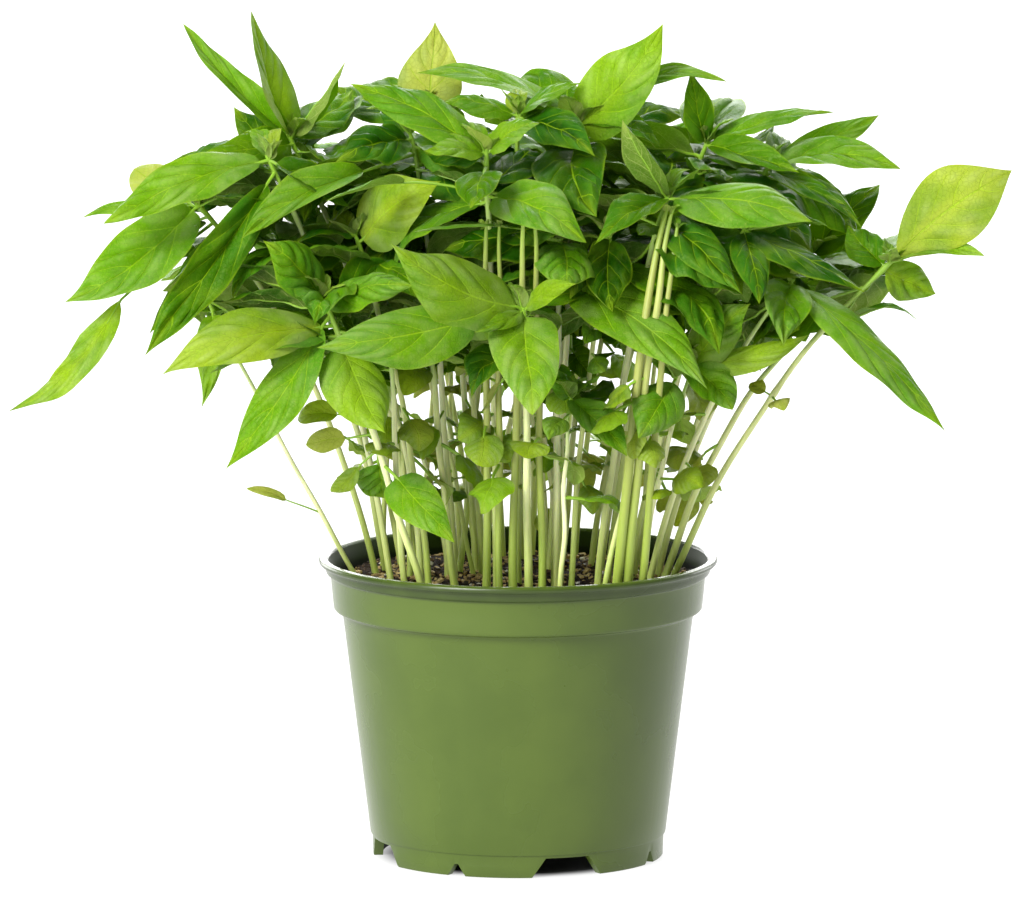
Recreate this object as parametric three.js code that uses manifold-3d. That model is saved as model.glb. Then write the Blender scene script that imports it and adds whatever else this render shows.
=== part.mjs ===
// A pot of basil: a moulded nursery pot, its block of potting soil, and a thick stand of
// seedlings, each a pale stem with opposite pairs of leaves. Millimetres, +Z up, pot axis on Z,
// the foot ring stands on Z = 0.
import * as THREE from "three";
import Module from "manifold-3d";

const wasm = await Module();
wasm.setup();
const { Manifold, Mesh: ManifoldMesh } = wasm;

// ---- driving dimensions ----
const POT_SIDES = 40;
const POT_HEIGHT = 115;
const LIP_R = 76;
const BAND_TOP_R = 71.6;
const BAND_BASE_R = 70.4;
const BAND_BASE_Z = 95;
const BODY_TOP_R = 67;
const BODY_BASE_R = 56.4;
const FOOT_R = 55.4;
const FOOT_INNER_R = 51.6;
const FOOT_HEIGHT = 8.5;
const WALL = 1.8;
const WIDE_NOTCH = { base: 29, top: 18, height: 7.4 };
const SMALL_NOTCH = { base: 7.5, top: 1.5, height: 4.6 };
const NOTCH_START = 20;
const DRAIN_R = 4.5;
const DRAIN_RING_R = 38;

const SOIL_Z = 102;
const SOIL_CLEAR = 0.35;
const ROOT_Z = 86;
const RISE_Z = 105.5;
const HOLE_CLEAR = 0.4;

const STEM_SIDES = 4;
const BLADE = 0.8;
const HIGHEST_LEAF = 0.985;
const STALK_WIDTH = 1.7;
const ROOT_WIDTH = 0.7;
const LONG_STALK = 0.2;
const NODE_CLEAR = 0.45;
const HIGHEST_TIP = 303;
const LOWEST_TIP = 186;
const DEEPEST_TIP = 115;
const OPEN_FLANK_X = 90;
const OPEN_BELOW = 0.9;
const SEED = 20731;

// ---- the seedlings that make the front of the bush ----
// base [x, y], top [x, y, z], radius at the soil, and the bend of the stem where it is not plain.
// leaves: [place on the stem 0-1, tip x, y, z, width, arch, stalk share, facing x, y, z]
const FRONT = [
  { base: [4, -50], top: [2, -78, 222], radius: 2.0, leaves: [
    [1.0, -48, -98, 249, 29, 0.1, 0.12, 0.1, -1, 0.6],
    [0.97, -75, -108, 210, 24, 0.12, 0.25, 0.1, -1, 0.7],
    [0.98, 8, -115, 187, 25, 0.1, 0.12, 0, -1, 0.3],
    [1.0, 22, -95, 233, 9, 0.1, 0.1, 0, -1, 0.5],
    [1.0, -16, -100, 215, 8, 0.1, 0.1, 0, -1, 0.6]] },
  { base: [14, -43], top: [16, -56, 246], radius: 1.8, leaves: [
    [0.85, 72, -95, 194, 25, 0.12, 0.12, 0.3, -1, 0.6],
    [0.98, 17, -86, 230, 24, 0.12, 0.1, 0, -1, 0.3],
    [1.0, -41, -86, 252, 8, 0.14, 0.3, 0, 0, 1]] },
  { base: [-35, -48], bend: [-51, -68, 166], top: [-74, -72, 226], radius: 1.8, leaves: [
    [1.0, -96, -88, 248, 19, 0.08, 0.1, 0.2, -1, 0.6],
    [1.0, -39, -92, 233, 18, 0.12, 0.12, 0.2, -1, 0.7],
    [1.0, -77, -98, 218, 24, 0.1, 0.1, 0, -0.8, 0.7],
    [0.9, -134, -95, 200, 21, 0.14, 0.14, -0.1, -1, 0.8],
    [0.85, -51, -105, 178, 26, 0.14, 0.12, 0.3, -1, 0.6],
    [0.93, -108, -90, 161, 19, 0.12, 0.16, -0.3, -1, 0.5],
    [0.45, -23, -90, 135, 17, 0.12, 0.2, 0.1, -1, 0.3],
    [0.5, -52, -42, 144, 20, 0.1, 0.25, -0.1, -1, 0.4],
    [0.62, -83, -60, 176, 9, 0.1, 0.4, 0, -1, 0.5],
    [0.55, -80, -58, 166, 9, 0.1, 0.4, 0, -1, 0.3],
    [0.5, -71, -52, 148, 7, 0.1, 0.4, 0, -1, 0.2]] },
  { base: [-48, -22], top: [-95, -50, 276], radius: 1.6, leaves: [
    [1.0, -155, -70, 251, 17, 0.12, 0.1, 0.1, -1, 0.9],
    [0.95, -142, -85, 206, 18, 0.1, 0.14, 0.6, -1, 0.4]] },
  { base: [-38, 2], top: [-87, -20, 280], radius: 1.6, leaves: [
    [1.0, -128, -22, 321, 12, 0.05, 0.1, 0.6, -1, 0.6],
    [1.0, -102, -15, 326, 22, -0.05, 0.1, 1, -0.7, 0.1],
    [1.0, -65, -30, 309, 10, 0.04, 0.12, 1, -0.15, -0.2],
    [1.0, -62, 8, 293, 18, 0.1, 0.1, 0, -0.7, 1],
    [0.97, -119, -42, 275, 15, 0.16, 0.1, -0.3, -1, 0.6]] },
  { base: [-24, -14], top: [-41, -35, 284], radius: 1.6, leaves: [
    [0.97, -68, -58, 273, 18, 0.12, 0.12, 0, -1, 0.9],
    [0.93, -105, -72, 248, 16, 0.14, 0.3, 0, -1, 0.8],
    [0.45, -42, -52, 184, 12, 0.08, 0.4, 0, -1, 0.4],
    [0.34, -37, -50, 160, 8, 0.08, 0.4, 0, -1, 0.3]] },
  { base: [-8, -34], top: [-12, -62, 280], radius: 1.8, leaves: [
    [1.0, -35, -74, 280, 14, 0.12, 0.12, 0, -0.5, 1],
    [1.0, 8, -68, 291, 14, 0.12, 0.14, 0, -0.6, 1],
    [1.0, -65, -44, 300, 18, 0.14, 0.14, -0.1, -0.9, 1],
    [0.87, -73, -80, 262, 12, 0.2, 0.5, 0.2, 0.5, 1],
    [0.87, 24, -92, 247, 21, 0.16, 0.14, 0, -1, 0.9],
    [0.36, -22, -58, 168, 14, 0.1, 0.35, 0, -1, 0.4],
    [0.33, -4, -60, 160, 15, 0.1, 0.35, 0, -1, 0.3]] },
  { base: [-34, -30], top: [-62, -44, 246], radius: 1.6, leaves: [
    [0.96, -28, -64, 266, 25, 0.08, 0.12, -0.2, -1, 0.4]] },
  { base: [-16, 12], top: [-34, 12, 288], radius: 1.6, leaves: [
    [1.0, -30, 20, 318, 23, 0.05, 0.1, 0, -1, 0.1]] },
  { base: [0, -18], top: [0, -28, 290], radius: 1.7, leaves: [
    [1.0, 24, -36, 301, 14, 0.14, 0.12, 0, -0.5, 1],
    [0.97, 29, -62, 277, 16, 0.12, 0.12, 0, -1, 0.8],
    [1.0, -29, -30, 293, 12, 0.12, 0.12, 0, -0.7, 1]] },
  { base: [16, -14], top: [22, -28, 286], radius: 1.7, leaves: [
    [1.0, 56, -38, 323, 25, 0.06, 0.1, -0.1, -1, 0.2],
    [1.0, -37, -12, 304, 14, 0.16, 0.12, 0, -0.3, 1],
    [1.0, 79, -32, 302, 12, 0.16, 0.14, 0, -0.6, 1],
    [0.93, 27, -78, 256, 27, 0.14, 0.1, 0, -1, 0.8]] },
  { base: [34, -8], top: [72, -22, 278], radius: 1.6, leaves: [
    [1.0, 66, -30, 306, 11, 0.05, 0.1, 0.5, -1, 0],
    [1.0, 120, -16, 288, 11, 0.12, 0.12, 0, -0.5, 1],
    [1.0, 107, -42, 269, 14, 0.14, 0.1, 0, -0.7, 1]] },
  { base: [30, -34], top: [57, -56, 262], radius: 1.8, leaves: [
    [1.0, 110, -82, 254, 24, 0.12, 0.1, 0.1, -0.9, 0.8],
    [1.0, 38, -64, 291, 15, -0.14, 0.12, 0.6, 0.8, 0.2],
    [1.0, 30, -82, 245, 15, 0.16, 0.1, -0.1, -0.9, 0.9],
    [0.92, 82, -88, 227, 17, 0.12, 0.1, 0.3, -1, 0.4],
    [0.9, 45, -74, 249, 8, 0.08, 0.15, 0, -1, 0.8]] },
  { base: [20, -37], top: [35, -56, 247], radius: 1.5, leaves: [
    [1.0, 35, -84, 221, 17, 0.1, 0.1, 0, -1, 0.2],
    [0.62, 33, -66, 196, 9, 0.1, 0.3, 0, -1, 0.3],
    [0.7, 24, -70, 207, 8, 0.1, 0.3, 0, -1, 0.4]] },
  { base: [44, 6], top: [97, -18, 270], radius: 1.6, leaves: [
    [1.0, 145, -26, 267, 17, 0.12, 0.1, 0, -0.8, 0.9],
    [1.0, 138, 2, 283, 10, 0.05, 0.14, 0, -1, 0.4],
    [0.97, 123, -46, 256, 10, 0.14, 0.1, 0.2, -0.8, 0.8],
    [0.95, 132, -50, 249, 13, 0.16, 0.12, 0.3, -0.8, 0.9]] },
  { base: [57, -19], bend: [84, -36, 180], top: [142, -46, 236], radius: 1.6, leaves: [
    [1.0, 186, -56, 271, 28, 0.05, 0.1, 0, -1, 0.1],
    [1.0, 176, -62, 240, 10, 0.14, 0.1, 0, -0.7, 1],
    [0.96, 158, -36, 221, 15, 0.1, 0.12, 0.1, -1, 0.3],
    [0.97, 124, -34, 246, 14, 0.14, 0.1, -0.3, -0.8, 0.7],
    [0.55, 100, -48, 178, 9, 0.08, 0.35, 0, -0.8, 0.6],
    [0.55, 88, -30, 186, 6, 0.1, 0.3, 0, -1, 0.6]] },
  { base: [49, -29], top: [104, -58, 230], radius: 1.6, leaves: [
    [0.98, 161, -84, 176, 21, 0.16, 0.1, 0.8, -1, 0.5],
    [1.0, 99, -82, 208, 19, 0.1, 0.1, 0.1, -1, 0.3]] },
  { base: [42, -18], top: [86, -58, 250], radius: 1.6, leaves: [
    [1.0, 131, -86, 229, 15, 0.14, 0.1, 0.3, -0.9, 0.8],
    [1.0, 92, -94, 226, 14, 0.14, 0.1, -0.1, -1, 0.5]] },
  { base: [47, -37], top: [66, -52, 197], radius: 1.45, leaves: [
    [1.0, 87, -64, 222, 18, 0.06, 0.1, 0.1, -1, 0.3],
    [1.0, 110, -44, 206, 12, 0.12, 0.1, 0, -1, 0.6],
    [1.0, 82, -72, 183, 16, 0.1, 0.12, 0.1, -1, 0.5],
    [0.45, 70, -62, 152, 13, 0.1, 0.35, 0, -1, 0.6],
    [0.4, 54, -64, 147, 12, 0.1, 0.4, 0, -1, 0.4]] },
  { base: [32, -50], top: [60, -60, 193], radius: 1.45, leaves: [
    [1.0, 46, -86, 173, 19, 0.1, 0.15, -0.1, -1, 0.4]] },
  { base: [16, -58], top: [20, -62, 186], radius: 1.35, leaves: [
    [1.0, 42, -84, 167, 14, 0.14, 0.1, 0.2, -1, 0.5],
    [1.0, 12, -72, 198, 9, 0.08, 0.12, 0, -1, 0.5],
    [0.9, 11, -80, 172, 10, 0.08, 0.3, 0, -1, 0.5]] },
  { base: [-54, 6], top: [-122, -34, 256], radius: 1.6, leaves: [
    [1.0, -169, -62, 220, 24, 0.1, 0.1, -0.3, -1, 0.6],
    [1.0, -165, -30, 251, 9, 0.14, 0.12, 0, -0.8, 1],
    [0.96, -146, 0, 264, 16, 0.05, 0.2, 0, -1, 0.3],
    [0.93, -190, -62, 178, 14, 0.12, 0.45, -0.5, -1, 0.6],
    [0.9, -140, -30, 205, 12, 0.1, 0.15, -0.2, -1, 0.4]] },
  { base: [-60, -9], bend: [-84, -25, 150], top: [-118, -46, 222], radius: 1.3, leaves: [
    [0.96, -117, -76, 183, 12, 0.12, 0.15, 0, -1, 0.3],
    [0.3, -103, -34, 146, 4, 0.1, 0.5, 0, -1, 0.5]] },
];

// ---- the seedlings that fill the sides and the back, in rings ----
// [how many, ring radius, first angle, last angle, spread of the tops, lowest and highest top]
const RINGS = [
  [12, 55, -14, 194, 1.72, 205, 250],
  [7, 37, 12, 168, 1.85, 240, 272],
  [3, 18, 25, 150, 1.6, 262, 284],
];
// [place on the stem, leaf length, its spread, width share, rise in degrees, its spread, stalk]
const WHORLS = [
  [0.7, 48, 7, 0.54, -28, 16, 0.16],
  [0.84, 55, 7, 0.52, -14, 18, 0.14],
  [0.94, 52, 7, 0.5, 6, 18, 0.12],
  [0.99, 40, 7, 0.46, 34, 14, 0.1],
];
// the leaves that the front seedlings carry on their far side, with the range of headings
const FAR_LEAVES = [
  [[0.8, 52, 7, 0.54, -30, 14, 0.16], 60, 120],
  [[0.86, 52, 7, 0.54, -22, 14, 0.14], 150, 205],
  [[0.89, 52, 7, 0.54, -18, 14, 0.14], -25, 30],
  [[0.95, 52, 7, 0.5, 6, 14, 0.12], 70, 150],
];

// A leaf that would pass through a neighbour leans aside: the first of these that is clear is kept.
const FRONT_MOVES = [
  [0, 0, 0], [0, -5, 0], [0, 5, 0], [0, -10, 0], [0, 10, 0], [0, 0, 4], [0, 0, -4],
  [4, -5, 0], [-4, -5, 0], [0, -16, 0], [0, 16, 0], [5, 8, 3], [-5, 8, -3], [0, -22, 0],
  [0, 22, 0], [8, -8, 4], [-8, -8, 4], [8, 12, -4], [-8, 12, -4], [0, -30, 0], [0, 30, 0],
];
const RULE_MOVES = [
  [0, 0, 0], [4, 0, 4], [-4, 0, -4], [0, 5, 6], [0, -5, -6], [8, 0, 8], [-8, 0, -8],
  [0, 9, 12], [0, -9, -12], [12, 6, 0], [-12, -6, 0], [6, 12, 16], [-6, -12, -16],
  [14, -6, 10], [14, 6, -10], [0, 0, 20], [0, 0, -20], [10, 14, -14], [10, -14, 14],
  [0, 20, 0], [0, -20, 0], [8, 26, 10], [8, -26, -10], [16, 12, 26], [16, -12, -26],
  [20, 0, 0], [20, 18, -30], [20, -18, 30],
];
const STEM_MOVES = [
  [0, 0], [5, 0], [-5, 0], [0, 5], [0, -5], [9, 4], [-9, 4], [9, -4], [-9, -4], [0, 11],
  [0, -11], [14, 0], [-14, 0],
];

// ---- small helpers ----
let drawState = SEED;
function draw() {
  drawState = (drawState * 1664525 + 1013904223) % 4294967296;
  return drawState / 4294967296;
}

function between(low, high) {
  return low + (high - low) * draw();
}

function degrees(angle) {
  return (angle * Math.PI) / 180;
}

function vec(list) {
  return new THREE.Vector3(list[0], list[1], list[2]);
}

function solidFrom(points, triangles) {
  const vertProperties = new Float32Array(points.length * 3);
  points.forEach((p, i) => vertProperties.set([p.x, p.y, p.z], 3 * i));
  const triVerts = new Uint32Array(triangles.flat());
  return new Manifold(new ManifoldMesh({ numProp: 3, vertProperties, triVerts }));
}

function geometryFrom(solid) {
  const mesh = solid.getMesh();
  const geometry = new THREE.BufferGeometry();
  geometry.setAttribute("position", new THREE.BufferAttribute(mesh.vertProperties, 3));
  geometry.setIndex(new THREE.BufferAttribute(mesh.triVerts, 1));
  geometry.computeVertexNormals();
  return geometry;
}

// A closed profile [radius, z], anticlockwise seen with the radius to the right, turned round Z.
// Its first and last points lie on the axis.
function turned(profile, sides) {
  const count = profile.length;
  const inner = count - 2;
  const points = [vec([0, 0, profile[0][1]]), vec([0, 0, profile[count - 1][1]])];
  for (let i = 0; i < sides; i++) {
    const angle = (2 * Math.PI * i) / sides;
    for (const [r, z] of profile.slice(1, -1)) {
      points.push(new THREE.Vector3(r * Math.cos(angle), r * Math.sin(angle), z));
    }
  }
  const triangles = [];
  for (let i = 0; i < sides; i++) {
    const here = 2 + i * inner;
    const next = 2 + ((i + 1) % sides) * inner;
    triangles.push([0, next, here], [1, here + inner - 1, next + inner - 1]);
    for (let k = 0; k + 1 < inner; k++) {
      triangles.push([here + k, next + k, next + k + 1], [here + k, next + k + 1, here + k + 1]);
    }
  }
  return solidFrom(points, triangles);
}

// ---- the pot ----
function potProfile() {
  const innerTop = LIP_R - 3.6;
  return [
    [0, FOOT_HEIGHT],
    [FOOT_INNER_R, FOOT_HEIGHT],
    [FOOT_INNER_R, 0],
    [FOOT_R, 0],
    [FOOT_R + 0.3, FOOT_HEIGHT],
    [BODY_BASE_R, FOOT_HEIGHT + 0.5],
    [BODY_TOP_R, BAND_BASE_Z - 0.6],
    [BAND_BASE_R, BAND_BASE_Z + 0.4],
    [BAND_TOP_R, POT_HEIGHT - 6.2],
    [LIP_R - 2.7, POT_HEIGHT - 5.4],
    [LIP_R - 2.4, POT_HEIGHT - 2.7],
    [LIP_R, POT_HEIGHT - 2.7],
    [LIP_R, POT_HEIGHT - 0.6],
    [LIP_R - 0.8, POT_HEIGHT],
    [innerTop, POT_HEIGHT],
    [BAND_TOP_R - WALL - 0.4, POT_HEIGHT - 7],
    [BAND_BASE_R - WALL - 0.3, BAND_BASE_Z + 1],
    [BODY_TOP_R - WALL, BAND_BASE_Z - 2.5],
    [BODY_BASE_R - WALL, FOOT_HEIGHT + 2],
    [0, FOOT_HEIGHT + 2],
  ];
}

// A wedge that cuts one notch through the foot ring, wider at the bottom than at its top.
function footNotch(shape, angle) {
  const inner = FOOT_INNER_R - 6;
  const outer = FOOT_R + 6;
  const points = [];
  for (const [width, z] of [[shape.base * 1.02, -1], [shape.top, shape.height]]) {
    const half = degrees(width / 2);
    for (const [r, side] of [[inner, -1], [outer, -1], [outer, 1], [inner, 1]]) {
      const turn = degrees(angle - 90) + side * half;
      points.push(new THREE.Vector3(r * Math.cos(turn), r * Math.sin(turn), z));
    }
  }
  const triangles = [
    [0, 2, 1], [0, 3, 2], [4, 5, 6], [4, 6, 7], [0, 1, 5], [0, 5, 4],
    [1, 2, 6], [1, 6, 5], [2, 3, 7], [2, 7, 6], [3, 0, 4], [3, 4, 7],
  ];
  return solidFrom(points, triangles);
}

function potSolid() {
  let pot = turned(potProfile(), POT_SIDES);
  for (let i = 0; i < 4; i++) {
    pot = pot.subtract(footNotch(WIDE_NOTCH, NOTCH_START + 90 * i));
    pot = pot.subtract(footNotch(SMALL_NOTCH, NOTCH_START + 45 + 90 * i));
    const turn = degrees(NOTCH_START + 90 * i);
    const hole = Manifold.cylinder(8, DRAIN_R, DRAIN_R, 10, false);
    const at = [DRAIN_RING_R * Math.cos(turn), DRAIN_RING_R * Math.sin(turn), FOOT_HEIGHT - 3];
    pot = pot.subtract(hole.translate(at));
  }
  return pot;
}

// ---- the soil ----
function soilHeight(r, angle) {
  const mound = 1.1 * Math.cos((r / 70) * 1.5);
  const lumps = 0.5 * Math.sin(3 * angle + r * 0.11) + 0.4 * Math.sin(5 * angle - r * 0.17);
  return SOIL_Z + mound + lumps * Math.min(1, r / 30);
}

function soilSolid() {
  const rings = [22, 44, 60, BAND_BASE_R - WALL - 0.3 - SOIL_CLEAR];
  const sides = 28;
  const wall = [
    [BAND_BASE_R - WALL - 0.3 - SOIL_CLEAR, BAND_BASE_Z + 1],
    [BODY_TOP_R - WALL - SOIL_CLEAR, BAND_BASE_Z - 2.7],
    [BODY_BASE_R - WALL - SOIL_CLEAR - 0.1, FOOT_HEIGHT + 2 + SOIL_CLEAR],
  ];
  const points = [new THREE.Vector3(0, 0, soilHeight(0, 0))];
  const spin = (r, z, angle) => new THREE.Vector3(r * Math.cos(angle), r * Math.sin(angle), z);
  for (const r of rings) {
    for (let i = 0; i < sides; i++) {
      const angle = (2 * Math.PI * i) / sides;
      points.push(spin(r, soilHeight(r, angle), angle));
    }
  }
  for (const [r, z] of wall) {
    for (let i = 0; i < sides; i++) {
      points.push(spin(r, z, (2 * Math.PI * i) / sides));
    }
  }
  const rows = rings.length + wall.length;
  const end = points.length;
  points.push(new THREE.Vector3(0, 0, FOOT_HEIGHT + 2 + SOIL_CLEAR));
  const triangles = [];
  for (let i = 0; i < sides; i++) {
    const next = (i + 1) % sides;
    triangles.push([0, 1 + i, 1 + next]);
    for (let k = 0; k + 1 < rows; k++) {
      const a = 1 + k * sides;
      const b = a + sides;
      triangles.push([a + i, b + i, b + next], [a + i, b + next, a + next]);
    }
    const last = 1 + (rows - 1) * sides;
    triangles.push([last + i, end, last + next]);
  }
  return solidFrom(points, triangles);
}

// ---- stems ----
// Straight up out of the soil, then a plain curve to the top.
function stemPoint(plant, t) {
  const start = new THREE.Vector3(plant.base[0], plant.base[1], RISE_Z);
  const a = start.multiplyScalar((1 - t) * (1 - t));
  const b = vec(plant.control).multiplyScalar(2 * t * (1 - t));
  const c = vec(plant.top).multiplyScalar(t * t);
  return a.add(b).add(c);
}

function stemRadius(plant, t) {
  return plant.radius * (1 - 0.36 * t);
}

function plainControl(plant) {
  const share = 0.28;
  return [
    plant.base[0] + share * (plant.top[0] - plant.base[0]),
    plant.base[1] + share * (plant.top[1] - plant.base[1]),
    RISE_Z + 0.6 * (plant.top[2] - RISE_Z),
  ];
}

function stemRing(plant, centre, radius) {
  const points = [];
  for (let i = 0; i < STEM_SIDES; i++) {
    const angle = (2 * Math.PI * i) / STEM_SIDES;
    points.push(new THREE.Vector3(
      centre.x + radius * Math.cos(angle), centre.y + radius * Math.sin(angle), centre.z));
  }
  return points;
}

function stemSolid(plant) {
  const points = stemRing(plant, new THREE.Vector3(plant.base[0], plant.base[1], ROOT_Z),
    plant.radius);
  for (const t of [0, 0.34, 0.67, 1]) {
    points.push(...stemRing(plant, stemPoint(plant, t), stemRadius(plant, t)));
  }
  const rows = points.length / STEM_SIDES;
  const triangles = [];
  for (let k = 0; k + 1 < rows; k++) {
    for (let i = 0; i < STEM_SIDES; i++) {
      const next = (i + 1) % STEM_SIDES;
      const a = k * STEM_SIDES;
      const b = a + STEM_SIDES;
      triangles.push([a + i, a + next, b + next], [a + i, b + next, b + i]);
    }
  }
  const top = (rows - 1) * STEM_SIDES;
  for (let i = 1; i + 1 < STEM_SIDES; i++) {
    triangles.push([0, i + 1, i], [top, top + i, top + i + 1]);
  }
  return solidFrom(points, triangles);
}

function rootHole(plant) {
  const radius = plant.radius + HOLE_CLEAR;
  const low = stemRing(plant, new THREE.Vector3(plant.base[0], plant.base[1], ROOT_Z - 0.4), radius);
  const high = stemRing(plant, new THREE.Vector3(plant.base[0], plant.base[1], SOIL_Z + 9), radius);
  const points = [...low, ...high];
  const triangles = [];
  for (let i = 0; i < STEM_SIDES; i++) {
    const next = (i + 1) % STEM_SIDES;
    triangles.push([i, next, STEM_SIDES + next], [i, STEM_SIDES + next, STEM_SIDES + i]);
  }
  for (let i = 1; i + 1 < STEM_SIDES; i++) {
    triangles.push([0, i + 1, i], [STEM_SIDES, STEM_SIDES + i, STEM_SIDES + i + 1]);
  }
  return solidFrom(points, triangles);
}

// ---- leaves ----
// Half-width of a blade along its length, as a share of its widest half-width: an egg with a
// drawn-out tip.
function outline(v) {
  if (v <= 0 || v >= 1) {
    return 0;
  }
  return Math.pow(Math.sin(Math.PI * Math.pow(v, 0.72)), 0.85 + 0.75 * v);
}

function leafFrame(leaf) {
  const chord = leaf.tip.clone().sub(leaf.root);
  const length = chord.length();
  const along = chord.clone().normalize();
  const up = leaf.face.clone().addScaledVector(along, -leaf.face.dot(along)).normalize();
  const middle = leaf.root.clone().add(leaf.tip).multiplyScalar(0.5);
  middle.addScaledVector(up, leaf.arch * length);
  return { up, middle, side: along.cross(up) };
}

// Point on the midrib at u (0 root, 1 tip).
function midrib(leaf, frame, u) {
  const point = leaf.root.clone().multiplyScalar((1 - u) * (1 - u));
  return point.addScaledVector(frame.middle, 2 * u * (1 - u)).addScaledVector(leaf.tip, u * u);
}

// The left and right edge of the blade at u. The tip is one point.
function leafRow(leaf, frame, u, half) {
  const point = midrib(leaf, frame, u);
  if (half === 0) {
    return [point];
  }
  const left = point.clone().addScaledVector(frame.side, -half);
  return [left, point.clone().addScaledVector(frame.side, half)];
}

function leafRows(leaf, frame) {
  const rows = [leafRow(leaf, frame, 0, ROOT_WIDTH / 2)];
  if (leaf.stalk >= LONG_STALK) {
    rows.push(leafRow(leaf, frame, leaf.stalk, STALK_WIDTH / 2));
  }
  for (const v of bladeRows(leaf)) {
    const u = leaf.stalk + (1 - leaf.stalk) * v;
    rows.push(leafRow(leaf, frame, u, (leaf.width / 2) * outline(v)));
  }
  rows.push(leafRow(leaf, frame, 1, 0));
  return rows;
}

function bladeRows(leaf) {
  if (leaf.width < 11) {
    return [0.42];
  }
  return leaf.front && leaf.width >= 18 ? [0.16, 0.45, 0.75] : [0.26, 0.64];
}

// A blade: a strip bent along its length, of even thickness, pointed at its end.
function leafSolid(leaf) {
  const frame = leafFrame(leaf);
  const points = [];
  for (const row of leafRows(leaf, frame)) {
    points.push(...row.map((p) => p.clone().addScaledVector(frame.up, BLADE / 2)));
    points.push(...row.map((p) => p.clone().addScaledVector(frame.up, -BLADE / 2)));
  }
  const triangles = [[0, 3, 1], [0, 2, 3]];
  const tip = points.length - 2;
  for (let a = 0; a < tip; a += 4) {
    const b = a + 4;
    if (b === tip) {
      triangles.push([a, a + 1, b], [a + 2, b + 1, a + 3]);
      triangles.push([a, b, b + 1], [a, b + 1, a + 2], [a + 1, a + 3, b + 1], [a + 1, b + 1, b]);
    } else {
      triangles.push([a, a + 1, b + 1], [a, b + 1, b], [a + 2, b + 3, a + 3], [a + 2, b + 2, b + 3]);
      triangles.push([a, b, b + 2], [a, b + 2, a + 2]);
      triangles.push([a + 1, a + 3, b + 3], [a + 1, b + 3, b + 1]);
    }
  }
  return solidFrom(points, triangles);
}

// ---- the stand of seedlings ----
function frontPlants() {
  return FRONT.map((row) => {
    const plant = { base: row.base, top: row.top, radius: row.radius, leaves: [] };
    plant.control = row.bend ? row.bend : plainControl(plant);
    plant.moves = row.bend ? STEM_MOVES.slice(0, 1) : STEM_MOVES;
    for (const [t, x, y, z, width, arch, stalk, fx, fy, fz] of row.leaves) {
      const tip = new THREE.Vector3(x, y, z);
      const face = new THREE.Vector3(fx, fy, fz).normalize();
      plant.leaves.push({ t, tip, width, arch, stalk, face, front: true });
    }
    return plant;
  });
}

function ringPlants(taken) {
  const plants = [];
  for (const [count, ring, first, last, spread, low, high] of RINGS) {
    for (let i = 0; i < count; i++) {
      const angle = degrees(first + ((last - first) * (i + 0.5)) / count + between(-4, 4));
      const r = ring + between(-4, 3);
      const lean = spread + between(-0.15, 0.15);
      const height = between(low, high);
      const radius = between(1.3, 1.8);
      const turn = between(0, 180);
      const base = [r * Math.cos(angle), r * Math.sin(angle)];
      const away = 6 + r * lean;
      const top = [away * Math.cos(angle) * 1.12, away * Math.sin(angle), height];
      const close = [...taken, ...plants].some(
        (other) => Math.hypot(other.base[0] - base[0], other.base[1] - base[1]) < 6.5);
      if (!close) {
        plants.push({ base, top, radius, turn, leaves: [], moves: STEM_MOVES });
      }
    }
  }
  for (const plant of plants) {
    plant.control = plainControl(plant);
  }
  return plants;
}

// One leaf made by rule: it springs from the stem at t in the given direction, faces up and a
// little outward, and its tip hangs.
function ruledLeaf(plant, whorl, heading) {
  const [t, length, lengthSpread, share, rise, riseSpread, stalk] = whorl;
  const long = length + between(-lengthSpread, lengthSpread);
  const tilt = rise + between(-riseSpread, riseSpread);
  const around = heading + between(-14, 14);
  const place = t + between(-0.012, 0.012);
  const arch = between(0.08, 0.18);
  const roll = between(-0.8, 0.8);
  const width = long * share * between(0.88, 1.12);
  return { t: place, long, tilt, around, roll, width, arch, stalk, front: false };
}

// On the flank where the bush stands open underneath, only leaves near a stem's top are kept.
function keepLeaf(plant, leaf) {
  if (plant.top[0] < OPEN_FLANK_X || leaf.t > OPEN_BELOW) {
    plant.leaves.push(leaf);
  }
}

function addRuledLeaves(plants, front) {
  for (const plant of plants) {
    let heading = plant.turn;
    for (const whorl of WHORLS) {
      keepLeaf(plant, ruledLeaf(plant, whorl, heading));
      keepLeaf(plant, ruledLeaf(plant, whorl, heading + 180));
      heading += 90;
    }
  }
  for (const plant of front) {
    if (plant.top[2] < 225) {
      continue;
    }
    for (const [whorl, first, last] of FAR_LEAVES) {
      keepLeaf(plant, ruledLeaf(plant, whorl, between(first, last)));
    }
  }
}

function movedLeaf(plant, leaf, move) {
  const root = stemPoint(plant, Math.min(leaf.t, HIGHEST_LEAF));
  if (leaf.front) {
    const [dx, dy, dz] = move;
    const tip = leaf.tip.clone().add(new THREE.Vector3(dx, dy, dz - dy / 6));
    return { ...leaf, root, tip };
  }
  const around = degrees(leaf.around + move[2]);
  const tilt = degrees(leaf.tilt + move[1]);
  const long = leaf.long * (1 - Math.abs(move[0]) / 60);
  const out = new THREE.Vector3(Math.cos(around), Math.sin(around), 0);
  const tip = root.clone().addScaledVector(out, long * Math.cos(tilt));
  tip.z += long * Math.sin(tilt);
  const side = new THREE.Vector3(-out.y, out.x, 0);
  const face = new THREE.Vector3(0, 0, 1).addScaledVector(out, 0.35).addScaledVector(side, leaf.roll);
  return { ...leaf, root, tip, face: face.normalize() };
}

// ---- keeping clear of the neighbours ----
const placed = [];

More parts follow.
